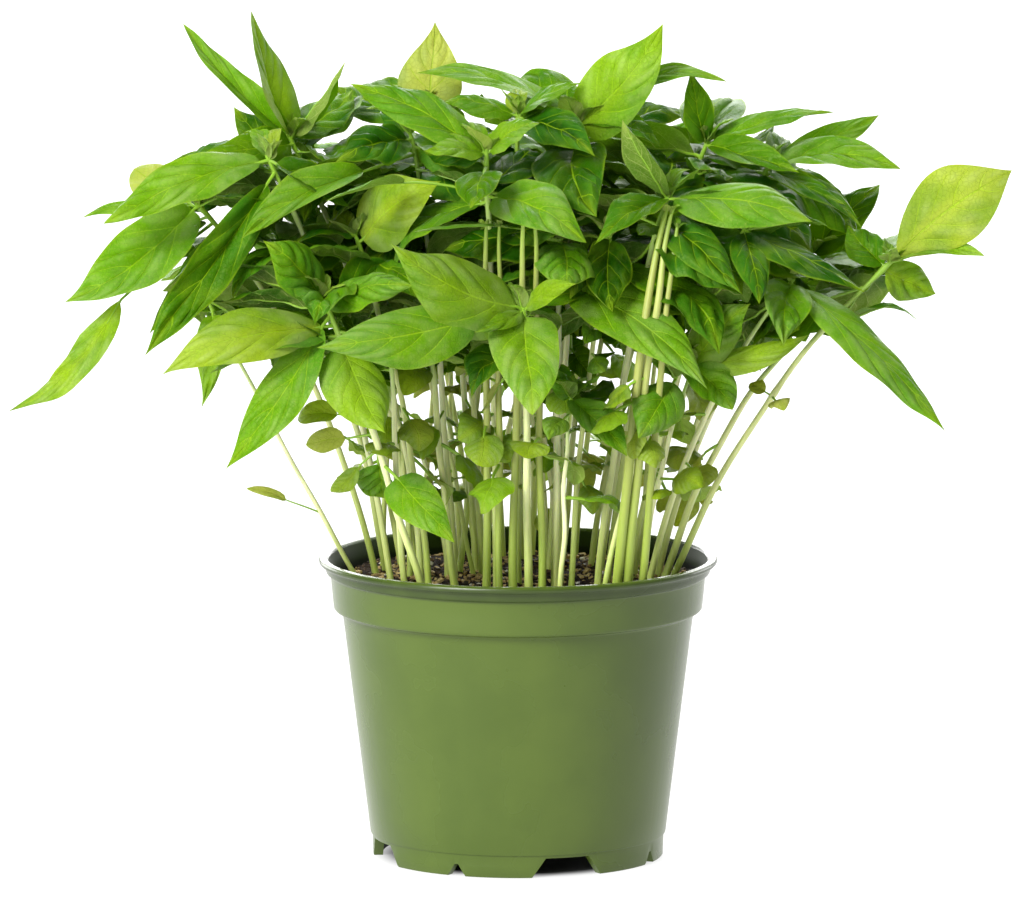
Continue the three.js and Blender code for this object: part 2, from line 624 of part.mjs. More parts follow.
function isClear(solid, owner, gap) {
  const box = solid.boundingBox();
  for (const other of placed) {
    if (other.owner === owner) {
      continue;
    }
    const apart = [0, 1, 2].some(
      (i) => box.min[i] > other.box.max[i] + gap || box.max[i] < other.box.min[i] - gap);
    if (!apart && solid.minGap(other.solid, gap * 2) < gap) {
      return false;
    }
  }
  return true;
}

function place(solid, owner) {
  placed.push({ solid, owner, box: solid.boundingBox() });
}

function growStem(plant) {
  const plain = plant.control;
  for (const [dx, dy] of plant.moves) {
    plant.control = [plain[0] + dx, plain[1] + dy, plain[2]];
    const stem = stemSolid(plant);
    if (isClear(stem, plant, NODE_CLEAR)) {
      place(stem, plant);
      plant.solid = stem;
      return true;
    }
  }
  return false;
}

function growLeaf(plant, leaf) {
  for (const move of leaf.front ? FRONT_MOVES : RULE_MOVES) {
    const moved = movedLeaf(plant, leaf, move);
    const { y, z } = moved.tip;
    if (!leaf.front && (z > HIGHEST_TIP || z < LOWEST_TIP || Math.abs(y) > DEEPEST_TIP)) {
      continue;
    }
    const solid = leafSolid(moved);
    if (isClear(solid, plant, NODE_CLEAR)) {
      place(solid, plant);
      plant.solid = plant.solid.add(solid);
      return true;
    }
  }
  return false;
}

function plasticMaterial() {
  return new THREE.MeshStandardMaterial({ color: "#6f8450", roughness: 0.42, metalness: 0 });
}

function soilMaterial() {
  return new THREE.MeshStandardMaterial({ color: "#33251b", roughness: 0.95, metalness: 0 });
}

function plantMaterial(i) {
  const tones = ["#5f9c2b", "#6fab33", "#4f8f26", "#7cb53f"];
  return new THREE.MeshStandardMaterial({
    color: tones[i % tones.length], roughness: 0.5, metalness: 0 });
}

function addMesh(group, name, solid, material) {
  const mesh = new THREE.Mesh(geometryFrom(solid), material);
  mesh.name = name;
  group.add(mesh);
}

function build() {
  const group = new THREE.Group();
  group.name = "potted_basil_plant";
  const front = frontPlants();
  const ring = ringPlants(front);
  addRuledLeaves(ring, front);
  const pot = potSolid();
  let soil = soilSolid();
  place(pot, "pot");
  const standing = [...front, ...ring].filter((plant) => growStem(plant));
  for (const plant of standing) {
    soil = soil.subtract(rootHole(plant));
  }
  place(soil, "soil");
  for (const front of [true, false]) {
    for (const plant of standing) {
      plant.leaves.filter((leaf) => leaf.front === front).forEach((leaf) => growLeaf(plant, leaf));
    }
  }
  addMesh(group, "pot", pot, plasticMaterial());
  addMesh(group, "soil", soil, soilMaterial());
  standing.forEach((plant, i) => {
    const name = `plant_${String(i + 1).padStart(2, "0")}`;
    addMesh(group, name, plant.solid, plantMaterial(i));
  });
  return group;
}

export default build();
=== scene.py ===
"""The looks of a pot of basil: a moulded nursery pot, crumbly potting soil and a thick stand of
seedlings with glossy, veined leaves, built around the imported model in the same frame."""

import math

import bpy
import numpy as np
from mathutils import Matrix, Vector
from mathutils.kdtree import KDTree


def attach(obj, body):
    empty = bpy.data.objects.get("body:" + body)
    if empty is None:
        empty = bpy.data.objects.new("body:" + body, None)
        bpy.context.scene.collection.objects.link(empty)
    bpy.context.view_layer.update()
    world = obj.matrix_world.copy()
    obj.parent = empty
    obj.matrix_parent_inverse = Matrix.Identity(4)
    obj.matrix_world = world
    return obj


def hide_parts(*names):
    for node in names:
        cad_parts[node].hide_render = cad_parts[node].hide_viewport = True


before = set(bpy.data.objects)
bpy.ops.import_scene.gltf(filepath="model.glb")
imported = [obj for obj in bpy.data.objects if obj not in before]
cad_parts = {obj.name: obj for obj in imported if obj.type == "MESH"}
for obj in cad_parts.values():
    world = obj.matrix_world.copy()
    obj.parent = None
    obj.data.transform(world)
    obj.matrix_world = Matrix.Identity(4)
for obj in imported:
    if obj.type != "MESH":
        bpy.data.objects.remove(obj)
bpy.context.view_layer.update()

MM = 0.001

# ---- dimensions of the solids, in millimetres, repeated from the part's own source ----
POT_HEIGHT = 115
LIP_R = 76
LIP_BASE_Z = 107.6
BAND_TOP_R = 71.6
BAND_BASE_R = 70.4
BAND_BASE_Z = 95
BODY_TOP_R = 67
BODY_BASE_R = 56.4
FOOT_R = 55.4
FOOT_INNER_R = 51.6
FOOT_HEIGHT = 8.5
WALL = 1.8
NOTCH_START = 20
DRAIN_R = 4.5
DRAIN_RING_R = 38
SOIL_Z = 102
SOIL_CLEAR = 0.35
ROOT_Z = 86
RISE_Z = 105.5
BLADE = 0.8
HIGHEST_LEAF = 0.985
STEM_ROOM = 6.5
TALL = 225
OPEN_FLANK_X = 90
OPEN_BELOW = 0.9
SEED = 20731
# each further row of draws starts from a seed of its own
CHIP_SEED = SEED + 5
SISTER_SEED = SEED + 17
FILL_SEED = SEED + 31
SISTER_LOOK_SEED = SEED + 50000
SEED_STEP = 977

SMOOTH = {"crumple": 0.15, "wave": 0.5}

# ---- the seedlings that make the front of the bush ----
# seedlings: (foot x, y, bend x, y, z or None, tip x, y, z, stem radius, leaves)
# leaves: [place on the stem 0-1, tip x, y, z, width, arch, stalk share, facing x, y, z, tone],
# where the tone runs from 0, the darkest green, to 1, pale yellow-green, and holds both the
# leaf's own green and painted light and shade, set to how lit the leaf looks; a leaf whose
# shape stands out has its own look
FRONT = [
    ([4, -50], None, [2, -78, 222], 2.0, [
        [1.0, -48, -98, 249, 29, 0.1, 0.12, 0.1, -1, 0.6, 0.64,
         {"fold": -0.1, "roll": 0.6, "curl": 0.05, "twist": 0.1, "pucker": 0.75, **SMOOTH,
          "sweep": -0.1, "widest": 0.62, "full": 0.5, "drawn": 0.7}],
        [0.97, -75, -108, 210, 24, 0.12, 0.25, 0.1, -1, 0.7, 0.54,
         {"fold": 0.1, "roll": 0.8, "curl": 0.2, "pucker": 0.9, **SMOOTH, "sweep": -0.04,
          "widest": 0.68, "full": 0.75}],
        [0.98, 8, -115, 187, 25, 0.1, 0.12, 0, -1, 0.3, 0.6,
         {"fold": 0.35, "roll": 0.5, "pucker": 0.7, **SMOOTH, "widest": 0.62, "full": 0.55}],
        [1.0, 22, -95, 233, 9, 0.1, 0.1, 0, -1, 0.5, 0.66],
        [1.0, -16, -100, 215, 8, 0.1, 0.1, 0, -1, 0.6, 0.6],
    ]),
    ([14, -43], None, [16, -56, 246], 1.8, [
        [0.85, 72, -95, 194, 25, 0.12, 0.12, 0.3, -1, 0.6, 0.54,
         {"fold": 0.3, "roll": 0.6, "pucker": 0.9, **SMOOTH}],
        [0.98, 17, -86, 230, 24, 0.12, 0.1, 0, -1, 0.3, 0.45],
        [1.0, -41, -86, 252, 8, 0.14, 0.3, 0, 0, 1, 0.5],
    ]),
    ([-35, -48], [-51, -68, 166], [-74, -72, 226], 1.8, [
        [1.0, -96, -88, 248, 19, 0.08, 0.1, 0.2, -1, 0.6, 0.36, {"pucker": 1.9, "roll": 0.9}],
        [1.0, -39, -92, 233, 18, 0.12, 0.12, 0.2, -1, 0.7, 0.46, {"pucker": 1.9, "fold": 0.2}],
        [1.0, -77, -98, 218, 24, 0.1, 0.1, 0, -0.8, 0.7, 0.42, {"pucker": 1.7}],
        [0.9, -134, -95, 200, 21, 0.14, 0.14, -0.1, -1, 0.8, 0.78,
         {"fold": 0.25, "roll": 0.6, "pucker": 1.0, **SMOOTH, "widest": 0.95, "full": 0.75}],
        [0.85, -51, -105, 178, 26, 0.14, 0.12, 0.3, -1, 0.6, 0.64, {"pucker": 0.7, **SMOOTH}],
        [0.93, -108, -90, 161, 19, 0.12, 0.16, -0.3, -1, 0.5, 0.52,
         {"fold": 0.3, "roll": 0.5, "pucker": 0.9, **SMOOTH, "full": 0.8}],
        [0.45, -23, -90, 135, 17, 0.12, 0.2, 0.1, -1, 0.3, 0.5,
         {"pucker": 0.6, **SMOOTH, "widest": 0.6, "full": 0.5}],
        [0.5, -52, -42, 144, 20, 0.1, 0.25, -0.1, -1, 0.4, 0.45],
        [0.62, -83, -60, 176, 9, 0.1, 0.4, 0, -1, 0.5, 0.5],
        [0.55, -80, -58, 166, 9, 0.1, 0.4, 0, -1, 0.3, 0.62],
        [0.5, -71, -52, 148, 7, 0.1, 0.4, 0, -1, 0.2, 0.45],
    ]),
    ([-48, -22], None, [-95, -50, 276], 1.6, [
        [1.0, -155, -70, 251, 17, 0.12, 0.1, 0.1, -1, 0.9, 0.56, {"fold": 0.5}],
        [0.95, -142, -85, 206, 18, 0.1, 0.14, 0.6, -1, 0.4, 0.22, {"fold": 0.7, "roll": 0.5}],
    ]),
    ([-38, 2], None, [-87, -20, 280], 1.6, [
        [1.0, -128, -22, 321, 12, 0.05, 0.1, 0.6, -1, 0.6, 0.5,
         {"fold": 0.8, "roll": 0.4, "widest": 0.7, "drawn": 0.3}],
        [1.0, -102, -15, 326, 22, -0.05, 0.1, 1, -0.7, 0.1, 0.7,
         {"fold": 0.5, "roll": 0.5, "pucker": 0.7, **SMOOTH, "widest": 0.5, "full": 0.6,
          "drawn": 0.3}],
        [1.0, -65, -30, 309, 10, 0.04, 0.12, 1, -0.15, -0.2, 0.42, {"fold": 0.9, "roll": 0.3}],
        [1.0, -62, 8, 293, 18, 0.1, 0.1, 0, -0.7, 1, 0.4],
        [0.97, -119, -42, 275, 15, 0.16, 0.1, -0.3, -1, 0.6, 0.3],
    ]),
    ([-24, -14], None, [-41, -35, 284], 1.6, [
        [0.97, -68, -58, 273, 18, 0.12, 0.12, 0, -1, 0.9, -0.06],
        [0.93, -105, -72, 248, 16, 0.14, 0.3, 0, -1, 0.8, 0.46],
        [0.45, -42, -52, 184, 12, 0.08, 0.4, 0, -1, 0.4, 0.5],
        [0.34, -37, -50, 160, 8, 0.08, 0.4, 0, -1, 0.3, 0.42],
    ]),
    ([-8, -34], None, [-12, -62, 280], 1.8, [
        [1.0, -35, -74, 280, 14, 0.12, 0.12, 0, -0.5, 1, 0.55],
        [1.0, 8, -68, 291, 14, 0.12, 0.14, 0, -0.6, 1, 0.6],
        [1.0, -65, -44, 300, 18, 0.14, 0.14, -0.1, -0.9, 1, 0.36],
        [0.87, -73, -80, 262, 12, 0.2, 0.5, 0.2, 0.5, 1, 0.5],
        [0.87, 24, -92, 247, 21, 0.16, 0.14, 0, -1, 0.9, 0.5],
        [0.36, -22, -58, 168, 14, 0.1, 0.35, 0, -1, 0.4, 0.46],
        [0.33, -4, -60, 160, 15, 0.1, 0.35, 0, -1, 0.3, 0.42],
    ]),
    ([-34, -30], None, [-62, -44, 246], 1.6, [
        [0.96, -28, -64, 266, 25, 0.08, 0.12, -0.2, -1, 0.4, 0.78,
         {"fold": 0.1, "roll": 0.4, "twist": 0.0, "pucker": 0.7, **SMOOTH, "widest": 0.7}],
    ]),
    ([-16, 12], None, [-34, 12, 288], 1.6, [
        [1.0, -30, 20, 318, 23, 0.05, 0.1, 0, -1, 0.1, 0.96,
         {"fold": 0.1, "roll": 0.3, "twist": 0.0, "pucker": 0.5, **SMOOTH, "widest": 0.45,
          "full": 0.75, "drawn": 0.5}],
    ]),
    ([0, -18], None, [0, -28, 290], 1.7, [
        [1.0, 24, -36, 301, 14, 0.14, 0.12, 0, -0.5, 1, 0.4],
        [0.97, 29, -62, 277, 16, 0.12, 0.12, 0, -1, 0.8, 0.0],
        [1.0, -29, -30, 293, 12, 0.12, 0.12, 0, -0.7, 1, 0.4],
    ]),
    ([16, -14], None, [22, -28, 286], 1.7, [
        [1.0, 56, -38, 323, 25, 0.06, 0.1, -0.1, -1, 0.2, 0.64,
         {"fold": 0.35, "roll": 0.7, "twist": -0.2, "pucker": 0.9, **SMOOTH, "widest": 0.62}],
        [1.0, -37, -12, 304, 14, 0.16, 0.12, 0, -0.3, 1, 0.46],
        [1.0, 79, -32, 302, 12, 0.16, 0.14, 0, -0.6, 1, 0.5, {"curl": 0.8, "roll": 0.8}],
        [0.93, 27, -78, 256, 27, 0.14, 0.1, 0, -1, 0.8, 0.14],
    ]),
    ([34, -8], None, [72, -22, 278], 1.6, [
        [1.0, 66, -30, 306, 11, 0.05, 0.1, 0.5, -1, 0, 0.14],
        [1.0, 120, -16, 288, 11, 0.12, 0.12, 0, -0.5, 1, 0.5, {"fold": 0.7}],
        [1.0, 107, -42, 269, 14, 0.14, 0.1, 0, -0.7, 1, 0.3],
    ]),
    ([30, -34], None, [57, -56, 262], 1.8, [
        [1.0, 110, -82, 254, 24, 0.12, 0.1, 0.1, -0.9, 0.8, 0.46,
         {"fold": 0.2, "roll": 0.9, "pucker": 1.0, **SMOOTH}],
        [1.0, 38, -64, 291, 15, -0.14, 0.12, 0.6, 0.8, 0.2, 0.2, {"sweep": -0.1}],
        [1.0, 30, -82, 245, 15, 0.16, 0.1, -0.1, -0.9, 0.9, 0.24],
        [0.92, 82, -88, 227, 17, 0.12, 0.1, 0.3, -1, 0.4, 0.12],
        [0.9, 45, -74, 249, 8, 0.08, 0.15, 0, -1, 0.8, 0.62],
    ]),
    ([20, -37], None, [35, -56, 247], 1.5, [
        [1.0, 35, -84, 221, 17, 0.1, 0.1, 0, -1, 0.2, 0.0],
        [0.62, 33, -66, 196, 9, 0.1, 0.3, 0, -1, 0.3, 0.3],
        [0.7, 24, -70, 207, 8, 0.1, 0.3, 0, -1, 0.4, 0.4],
    ]),
    ([44, 6], None, [97, -18, 270], 1.6, [
        [1.0, 145, -26, 267, 17, 0.12, 0.1, 0, -0.8, 0.9, 0.5],
        [1.0, 138, 2, 283, 10, 0.05, 0.14, 0, -1, 0.4, 0.5],
        [0.97, 123, -46, 256, 10, 0.14, 0.1, 0.2, -0.8, 0.8, 0.26],
        [0.95, 132, -50, 249, 13, 0.16, 0.12, 0.3, -0.8, 0.9, 0.1],
    ]),
    ([57, -19], [84, -36, 180], [142, -46, 236], 1.6, [
        [1.0, 186, -56, 271, 28, 0.05, 0.1, 0, -1, 0.1, 0.86,
         {"fold": 0.08, "roll": 0.25, "twist": 0.1, "sweep": -0.05, "pucker": 0.4, **SMOOTH,
          "widest": 1.15, "full": 0.85, "drawn": 0.25}],
        [1.0, 176, -62, 240, 10, 0.14, 0.1, 0, -0.7, 1, 0.62],
        [0.96, 158, -36, 221, 15, 0.1, 0.12, 0.1, -1, 0.3, 0.7],
        [0.97, 124, -34, 246, 14, 0.14, 0.1, -0.3, -0.8, 0.7, 0.28],
        [0.55, 100, -48, 178, 9, 0.08, 0.35, 0, -0.8, 0.6, 0.72],
        [0.55, 88, -30, 186, 6, 0.1, 0.3, 0, -1, 0.6, 0.6],
    ]),
    ([49, -29], None, [104, -58, 230], 1.6, [
        [0.98, 161, -84, 176, 21, 0.16, 0.1, 0.8, -1, 0.5, 0.5,
         {"fold": 0.25, "roll": 0.8, "pucker": 0.9, "crumple": 0.2, "full": 0.8}],
        [1.0, 99, -82, 208, 19, 0.1, 0.1, 0.1, -1, 0.3, 0.5],
    ]),
    ([42, -18], None, [86, -58, 250], 1.6, [
        [1.0, 131, -86, 229, 15, 0.14, 0.1, 0.3, -0.9, 0.8, -0.1],
        [1.0, 92, -94, 226, 14, 0.14, 0.1, -0.1, -1, 0.5, 0.0],
    ]),
    ([47, -37], None, [66, -52, 197], 1.45, [
        [1.0, 87, -64, 222, 18, 0.06, 0.1, 0.1, -1, 0.3, 0.62],
        [1.0, 110, -44, 206, 12, 0.12, 0.1, 0, -1, 0.6, 0.7, {"sweep": 0.08, "fold": 0.1}],
        [1.0, 82, -72, 183, 16, 0.1, 0.12, 0.1, -1, 0.5, 0.5],
        [0.45, 70, -62, 152, 13, 0.1, 0.35, 0, -1, 0.6, 0.5],
        [0.4, 54, -64, 147, 12, 0.1, 0.4, 0, -1, 0.4, 0.5],
    ]),
    ([32, -50], None, [60, -60, 193], 1.45, [
        [1.0, 46, -86, 173, 19, 0.1, 0.15, -0.1, -1, 0.4, 0.52, {"pucker": 0.6, **SMOOTH}],
    ]),
    ([16, -58], None, [20, -62, 186], 1.35, [
        [1.0, 42, -84, 167, 14, 0.14, 0.1, 0.2, -1, 0.5, 0.5],
        [1.0, 12, -72, 198, 9, 0.08, 0.12, 0, -1, 0.5, 0.45],
        [0.9, 11, -80, 172, 10, 0.08, 0.3, 0, -1, 0.5, 0.62],
    ]),
    ([-54, 6], None, [-122, -34, 256], 1.6, [
        [1.0, -169, -62, 220, 24, 0.1, 0.1, -0.3, -1, 0.6, 0.5],
        [1.0, -165, -30, 251, 9, 0.14, 0.12, 0, -0.8, 1, 0.45],
        [0.96, -146, 0, 264, 16, 0.05, 0.2, 0, -1, 0.3, 0.92,
         {"fold": 0.1, "roll": 0.3, "twist": 0.0, "widest": 1.3, "full": 0.5, "drawn": 0.0}],
        [0.93, -190, -62, 178, 14, 0.12, 0.45, -0.5, -1, 0.6, 0.7,
         {"fold": 0.2, "sweep": -0.06, "full": 0.85}],
        [0.9, -140, -30, 205, 12, 0.1, 0.15, -0.2, -1, 0.4, 0.4],
    ]),
    ([-60, -9], [-84, -25, 150], [-118, -46, 222], 1.3, [
        [0.96, -117, -76, 183, 12, 0.12, 0.15, 0, -1, 0.3, 0.6],
        [0.3, -103, -34, 146, 4, 0.1, 0.5, 0, -1, 0.5, 0.7],
    ]),
]

# ---- the seedlings that fill the sides and the back, in rings ----
# [how many, ring radius, first angle, last angle, spread of the tops, lowest and highest top]
RINGS = [
    [12, 55, -14, 194, 1.72, 205, 250],
    [7, 37, 12, 168, 1.85, 240, 272],
    [3, 18, 25, 150, 1.6, 262, 284],
]
# [place on the stem, leaf length, its spread, width share, rise in degrees, its spread, stalk]
WHORLS = [
    [0.7, 48, 7, 0.54, -28, 16, 0.16],
    [0.84, 55, 7, 0.52, -14, 18, 0.14],
    [0.94, 52, 7, 0.5, 6, 18, 0.12],
    [0.99, 40, 7, 0.46, 34, 14, 0.1],
]
FAR_LEAVES = [
    [[0.8, 52, 7, 0.54, -30, 14, 0.16], 60, 120],
    [[0.86, 52, 7, 0.54, -22, 14, 0.14], 150, 205],
    [[0.89, 52, 7, 0.54, -18, 14, 0.14], -25, 30],
    [[0.95, 52, 7, 0.5, 6, 14, 0.12], 70, 150],
]
FRONT_MOVES = [
    [0, 0, 0], [0, -5, 0], [0, 5, 0], [0, -10, 0], [0, 10, 0], [0, 0, 4], [0, 0, -4],
    [4, -5, 0], [-4, -5, 0], [0, -16, 0], [0, 16, 0], [5, 8, 3], [-5, 8, -3], [0, -22, 0],
    [0, 22, 0], [8, -8, 4], [-8, -8, 4], [8, 12, -4], [-8, 12, -4], [0, -30, 0], [0, 30, 0],
]
RULE_MOVES = [
    [0, 0, 0], [4, 0, 4], [-4, 0, -4], [0, 5, 6], [0, -5, -6], [8, 0, 8], [-8, 0, -8],
    [0, 9, 12], [0, -9, -12], [12, 6, 0], [-12, -6, 0], [6, 12, 16], [-6, -12, -16],
    [14, -6, 10], [14, 6, -10], [0, 0, 20], [0, 0, -20], [10, 14, -14], [10, -14, 14],
    [0, 20, 0], [0, -20, 0], [8, 26, 10], [8, -26, -10], [16, 12, 26], [16, -12, -26],
    [20, 0, 0], [20, 18, -30], [20, -18, 30],
]
STEM_MOVES = [
    [0, 0], [5, 0], [-5, 0], [0, 5], [0, -5], [9, 4], [-9, 4], [9, -4], [-9, -4], [0, 11],
    [0, -11], [14, 0], [-14, 0],
]


# ---- how the seedlings grow: the same rule and draws as the solids ----
class Draws:
    """A seeded row of numbers between 0 and 1."""

    def __init__(self, seed):
        self.state = seed

    def one(self):
        self.state = (self.state * 1664525 + 1013904223) % 4294967296
        return self.state / 4294967296

    def between(self, low, high):
        return low + (high - low) * self.one()


def unit(v):
    return v / np.linalg.norm(v)


def unit_rows(rows):
    return rows / np.linalg.norm(rows, axis=1)[:, None]


def bow(t, start, control, end):
    """Points on a curve that leaves start towards control and comes to end."""
    return (1 - t) ** 2 * start + 2 * t * (1 - t) * control + t**2 * end


def stem_point(plant, t):
    t = np.asarray(t, float)[..., None]
    start = np.array([*plant["base"], RISE_Z], float)
    return bow(t, start, np.array(plant["control"], float), np.array(plant["top"], float))


def stem_radius(plant, t):
    return plant["radius"] * (1 - 0.36 * t)


def plain_control(plant):
    base, top, share = plant["base"], plant["top"], 0.28
    return [
        base[0] + share * (top[0] - base[0]),
        base[1] + share * (top[1] - base[1]),
        RISE_Z + 0.6 * (top[2] - RISE_Z),
    ]


def front_plants():
    plants = []
    for base, bend, top, radius, rows in FRONT:
        plant = {"base": base, "top": top, "radius": radius, "leaves": []}
        plant["control"] = bend or plain_control(plant)
        plant["moves"] = STEM_MOVES[:1] if bend else STEM_MOVES
        for t, x, y, z, width, arch, stalk, fx, fy, fz, tone, *look in rows:
            plant["leaves"].append({
                "t": t, "tip": np.array([x, y, z], float), "width": width, "arch": arch,
                "stalk": stalk, "face": unit(np.array([fx, fy, fz], float)), "front": True,
                "tone": tone, "look": look[0] if look else {},
            })
        plants.append(plant)
    return plants


def ring_plants(taken, draws):
    plants = []
    for count, ring, first, last, spread, low, high in RINGS:
        for i in range(count):
            around = first + (last - first) * (i + 0.5) / count
            angle = math.radians(around + draws.between(-4, 4))
            r = ring + draws.between(-4, 3)
            lean = spread + draws.between(-0.15, 0.15)
            height = draws.between(low, high)
            radius = draws.between(1.3, 1.8)
            turn = draws.between(0, 180)
            base = [r * math.cos(angle), r * math.sin(angle)]
            away = 6 + r * lean
            top = [away * math.cos(angle) * 1.12, away * math.sin(angle), height]
            if not any(math.dist(o["base"], base) < STEM_ROOM for o in taken + plants):
                plants.append({
                    "base": base, "top": top, "radius": radius, "turn": turn, "leaves": [],
                    "moves": STEM_MOVES,
                })
    for plant in plants:
        plant["control"] = plain_control(plant)
    return plants


def ruled_leaf(whorl, heading, draws):
    t, length, length_spread, share, rise, rise_spread, stalk = whorl
    long = length + draws.between(-length_spread, length_spread)
    tilt = rise + draws.between(-rise_spread, rise_spread)
    around = heading + draws.between(-14, 14)
    place = t + draws.between(-0.012, 0.012)
    arch = draws.between(0.08, 0.18)
    roll = draws.between(-0.8, 0.8)
    width = long * share * draws.between(0.88, 1.12)
    return {
        "t": place, "long": long, "tilt": tilt, "around": around, "roll": roll, "width": width,
        "arch": arch, "stalk": stalk, "front": False,
    }


def keep_leaf(plant, leaf):
    """On the flank where the bush stands open underneath, only leaves near a stem's top stay."""
    if plant["top"][0] < OPEN_FLANK_X or leaf["t"] > OPEN_BELOW:
        plant["leaves"].append(leaf)


def add_ruled_leaves(ring, front, draws):
    for plant in ring:
        heading = plant["turn"]
        for whorl in WHORLS:
            keep_leaf(plant, ruled_leaf(whorl, heading, draws))
            keep_leaf(plant, ruled_leaf(whorl, heading + 180, draws))
            heading += 90
    for plant in front:
        if plant["top"][2] < TALL:
            continue
        for whorl, first, last in FAR_LEAVES:
            keep_leaf(plant, ruled_leaf(whorl, draws.between(first, last), draws))


def moved_leaf(plant, leaf, move):
    root = stem_point(plant, min(leaf["t"], HIGHEST_LEAF))
    if leaf["front"]:
        dx, dy, dz = move
        return {**leaf, "root": root, "tip": leaf["tip"] + np.array([dx, dy, dz - dy / 6])}
    around = math.radians(leaf["around"] + move[2])
    tilt = math.radians(leaf["tilt"] + move[1])
    long = leaf["long"] * (1 - abs(move[0]) / 60)
    out = np.array([math.cos(around), math.sin(around), 0])
    tip = root + out * long * math.cos(tilt)
    tip[2] += long * math.sin(tilt)
    side = np.array([-out[1], out[0], 0])
    face = np.array([0, 0, 1.0]) + 0.35 * out + leaf["roll"] * side
    return {**leaf, "root": root, "tip": tip, "face": unit(face)}


def leaf_frame(leaf):
    chord = leaf["tip"] - leaf["root"]
    length = np.linalg.norm(chord)
    along = chord / length
    up = unit(leaf["face"] - leaf["face"].dot(along) * along)
    middle = (leaf["root"] + leaf["tip"]) / 2 + up * leaf["arch"] * length
    return {"length": length, "up": up, "middle": middle, "side": np.cross(along, up)}


def outline(v, widest=0.8, full=0.62, drawn=0.6):
    """The blade's half width along it, as a share: full in the middle, drawn out to the tip."""
    v = np.clip(v, 0, 1)
    return np.clip(np.sin(np.pi * v**widest), 0, 1) ** (full + drawn * v**2)


# ---- which of the evasive moves each solid took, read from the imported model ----
SAME_CORNER = 0.03


def node_corners(name):
    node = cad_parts[name]
    tree = KDTree(len(node.data.vertices))
    for i, v in enumerate(node.data.vertices):
        tree.insert((node.matrix_world @ v.co) / MM, i)
    tree.balance()
    return tree


def hits(tree, points):
    return sum(1 for p in points if tree.find(Vector(p))[2] < SAME_CORNER)


def stem_marks(plant):
    points = []
    for t in (0.34, 0.67, 1.0):
        centre, radius = stem_point(plant, t), stem_radius(plant, t)
        for turn in range(4):
            angle = turn * math.pi / 2
            points.append(centre + radius * np.array([math.cos(angle), math.sin(angle), 0]))
    return points


def leaf_marks(leaf):
    shape = leaf_frame(leaf)
    lift = shape["up"] * BLADE / 2
    return [leaf["tip"] + lift, leaf["tip"] - lift]


def standing_plants():
    """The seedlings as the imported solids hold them, each with its node's name."""
    draws = Draws(SEED)
    front = front_plants()
    ring = ring_plants(front, draws)
    add_ruled_leaves(ring, front, draws)
    names = sorted(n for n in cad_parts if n.startswith("plant_"))
    standing = []
    for plant in front + ring:
        if len(standing) == len(names):
            break
        tree = node_corners(names[len(standing)])
        root = [plant["base"][0] + plant["radius"], plant["base"][1], ROOT_Z]
        if not hits(tree, [root]):
            continue
        plain = plant["control"]
        best = -1
        for dx, dy in plant["moves"]:
            trial = {**plant, "control": [plain[0] + dx, plain[1] + dy, plain[2]]}
            found = hits(tree, stem_marks(trial))
            if found > best:
                best, plant["control"] = found, trial["control"]
        kept = []
        for leaf in plant["leaves"]:
            moves = FRONT_MOVES if leaf["front"] else RULE_MOVES
            trials = [moved_leaf(plant, leaf, move) for move in moves]
            scores = [hits(tree, leaf_marks(trial)) for trial in trials]
            if max(scores) > 0:
                kept.append(trials[scores.index(max(scores))])
        plant["grown"] = kept
        plant["node"] = names[len(standing)]
        standing.append(plant)
    return standing


# ---- meshes ----
def in_scene(name, data):
    made = bpy.data.objects.new(name, data)
    bpy.context.collection.objects.link(made)
    return made


class Builder:
    """Gathers vertices and faces of one piece, with a material number and UVs for each face."""

    def __init__(self):
        self.points, self.faces, self.kinds, self.uvs, self.tones = [], [], [], [], []
        self.count = 0

    def add(self, points, faces, kinds, uvs, tone=0.5):
        """points (n, 3) in mm, faces as lists of numbers, uvs (n, 2) one for each point."""
        self.points.append(np.asarray(points, float))
        uvs = np.asarray(uvs, float)
        for face in faces:
            self.uvs.extend(uvs[list(face)].ravel().tolist())
        self.faces.extend([tuple(i + self.count for i in face) for face in faces])
        self.kinds.extend([kinds] * len(faces) if isinstance(kinds, int) else kinds)
        self.tones.append(np.full(len(points), tone))
        self.count += len(points)

    def piece(self, name, materials, sharp=55):
        mesh = bpy.data.meshes.new(name)
        mesh.from_pydata((np.concatenate(self.points) * MM).tolist(), [], self.faces)
        mesh.validate()
        mesh.polygons.foreach_set("material_index", self.kinds)
        mesh.polygons.foreach_set("use_smooth", [True] * len(mesh.polygons))
        layer = mesh.uv_layers.new(name="Growth")
        layer.data.foreach_set("uv", self.uvs)
        tone = mesh.attributes.new("tone", "FLOAT", "POINT")
        tone.data.foreach_set("value", np.concatenate(self.tones))
        for material in materials:
            mesh.materials.append(material)
        mesh.update()
        mesh.set_sharp_from_angle(angle=math.radians(sharp))
        return in_scene(name, mesh)


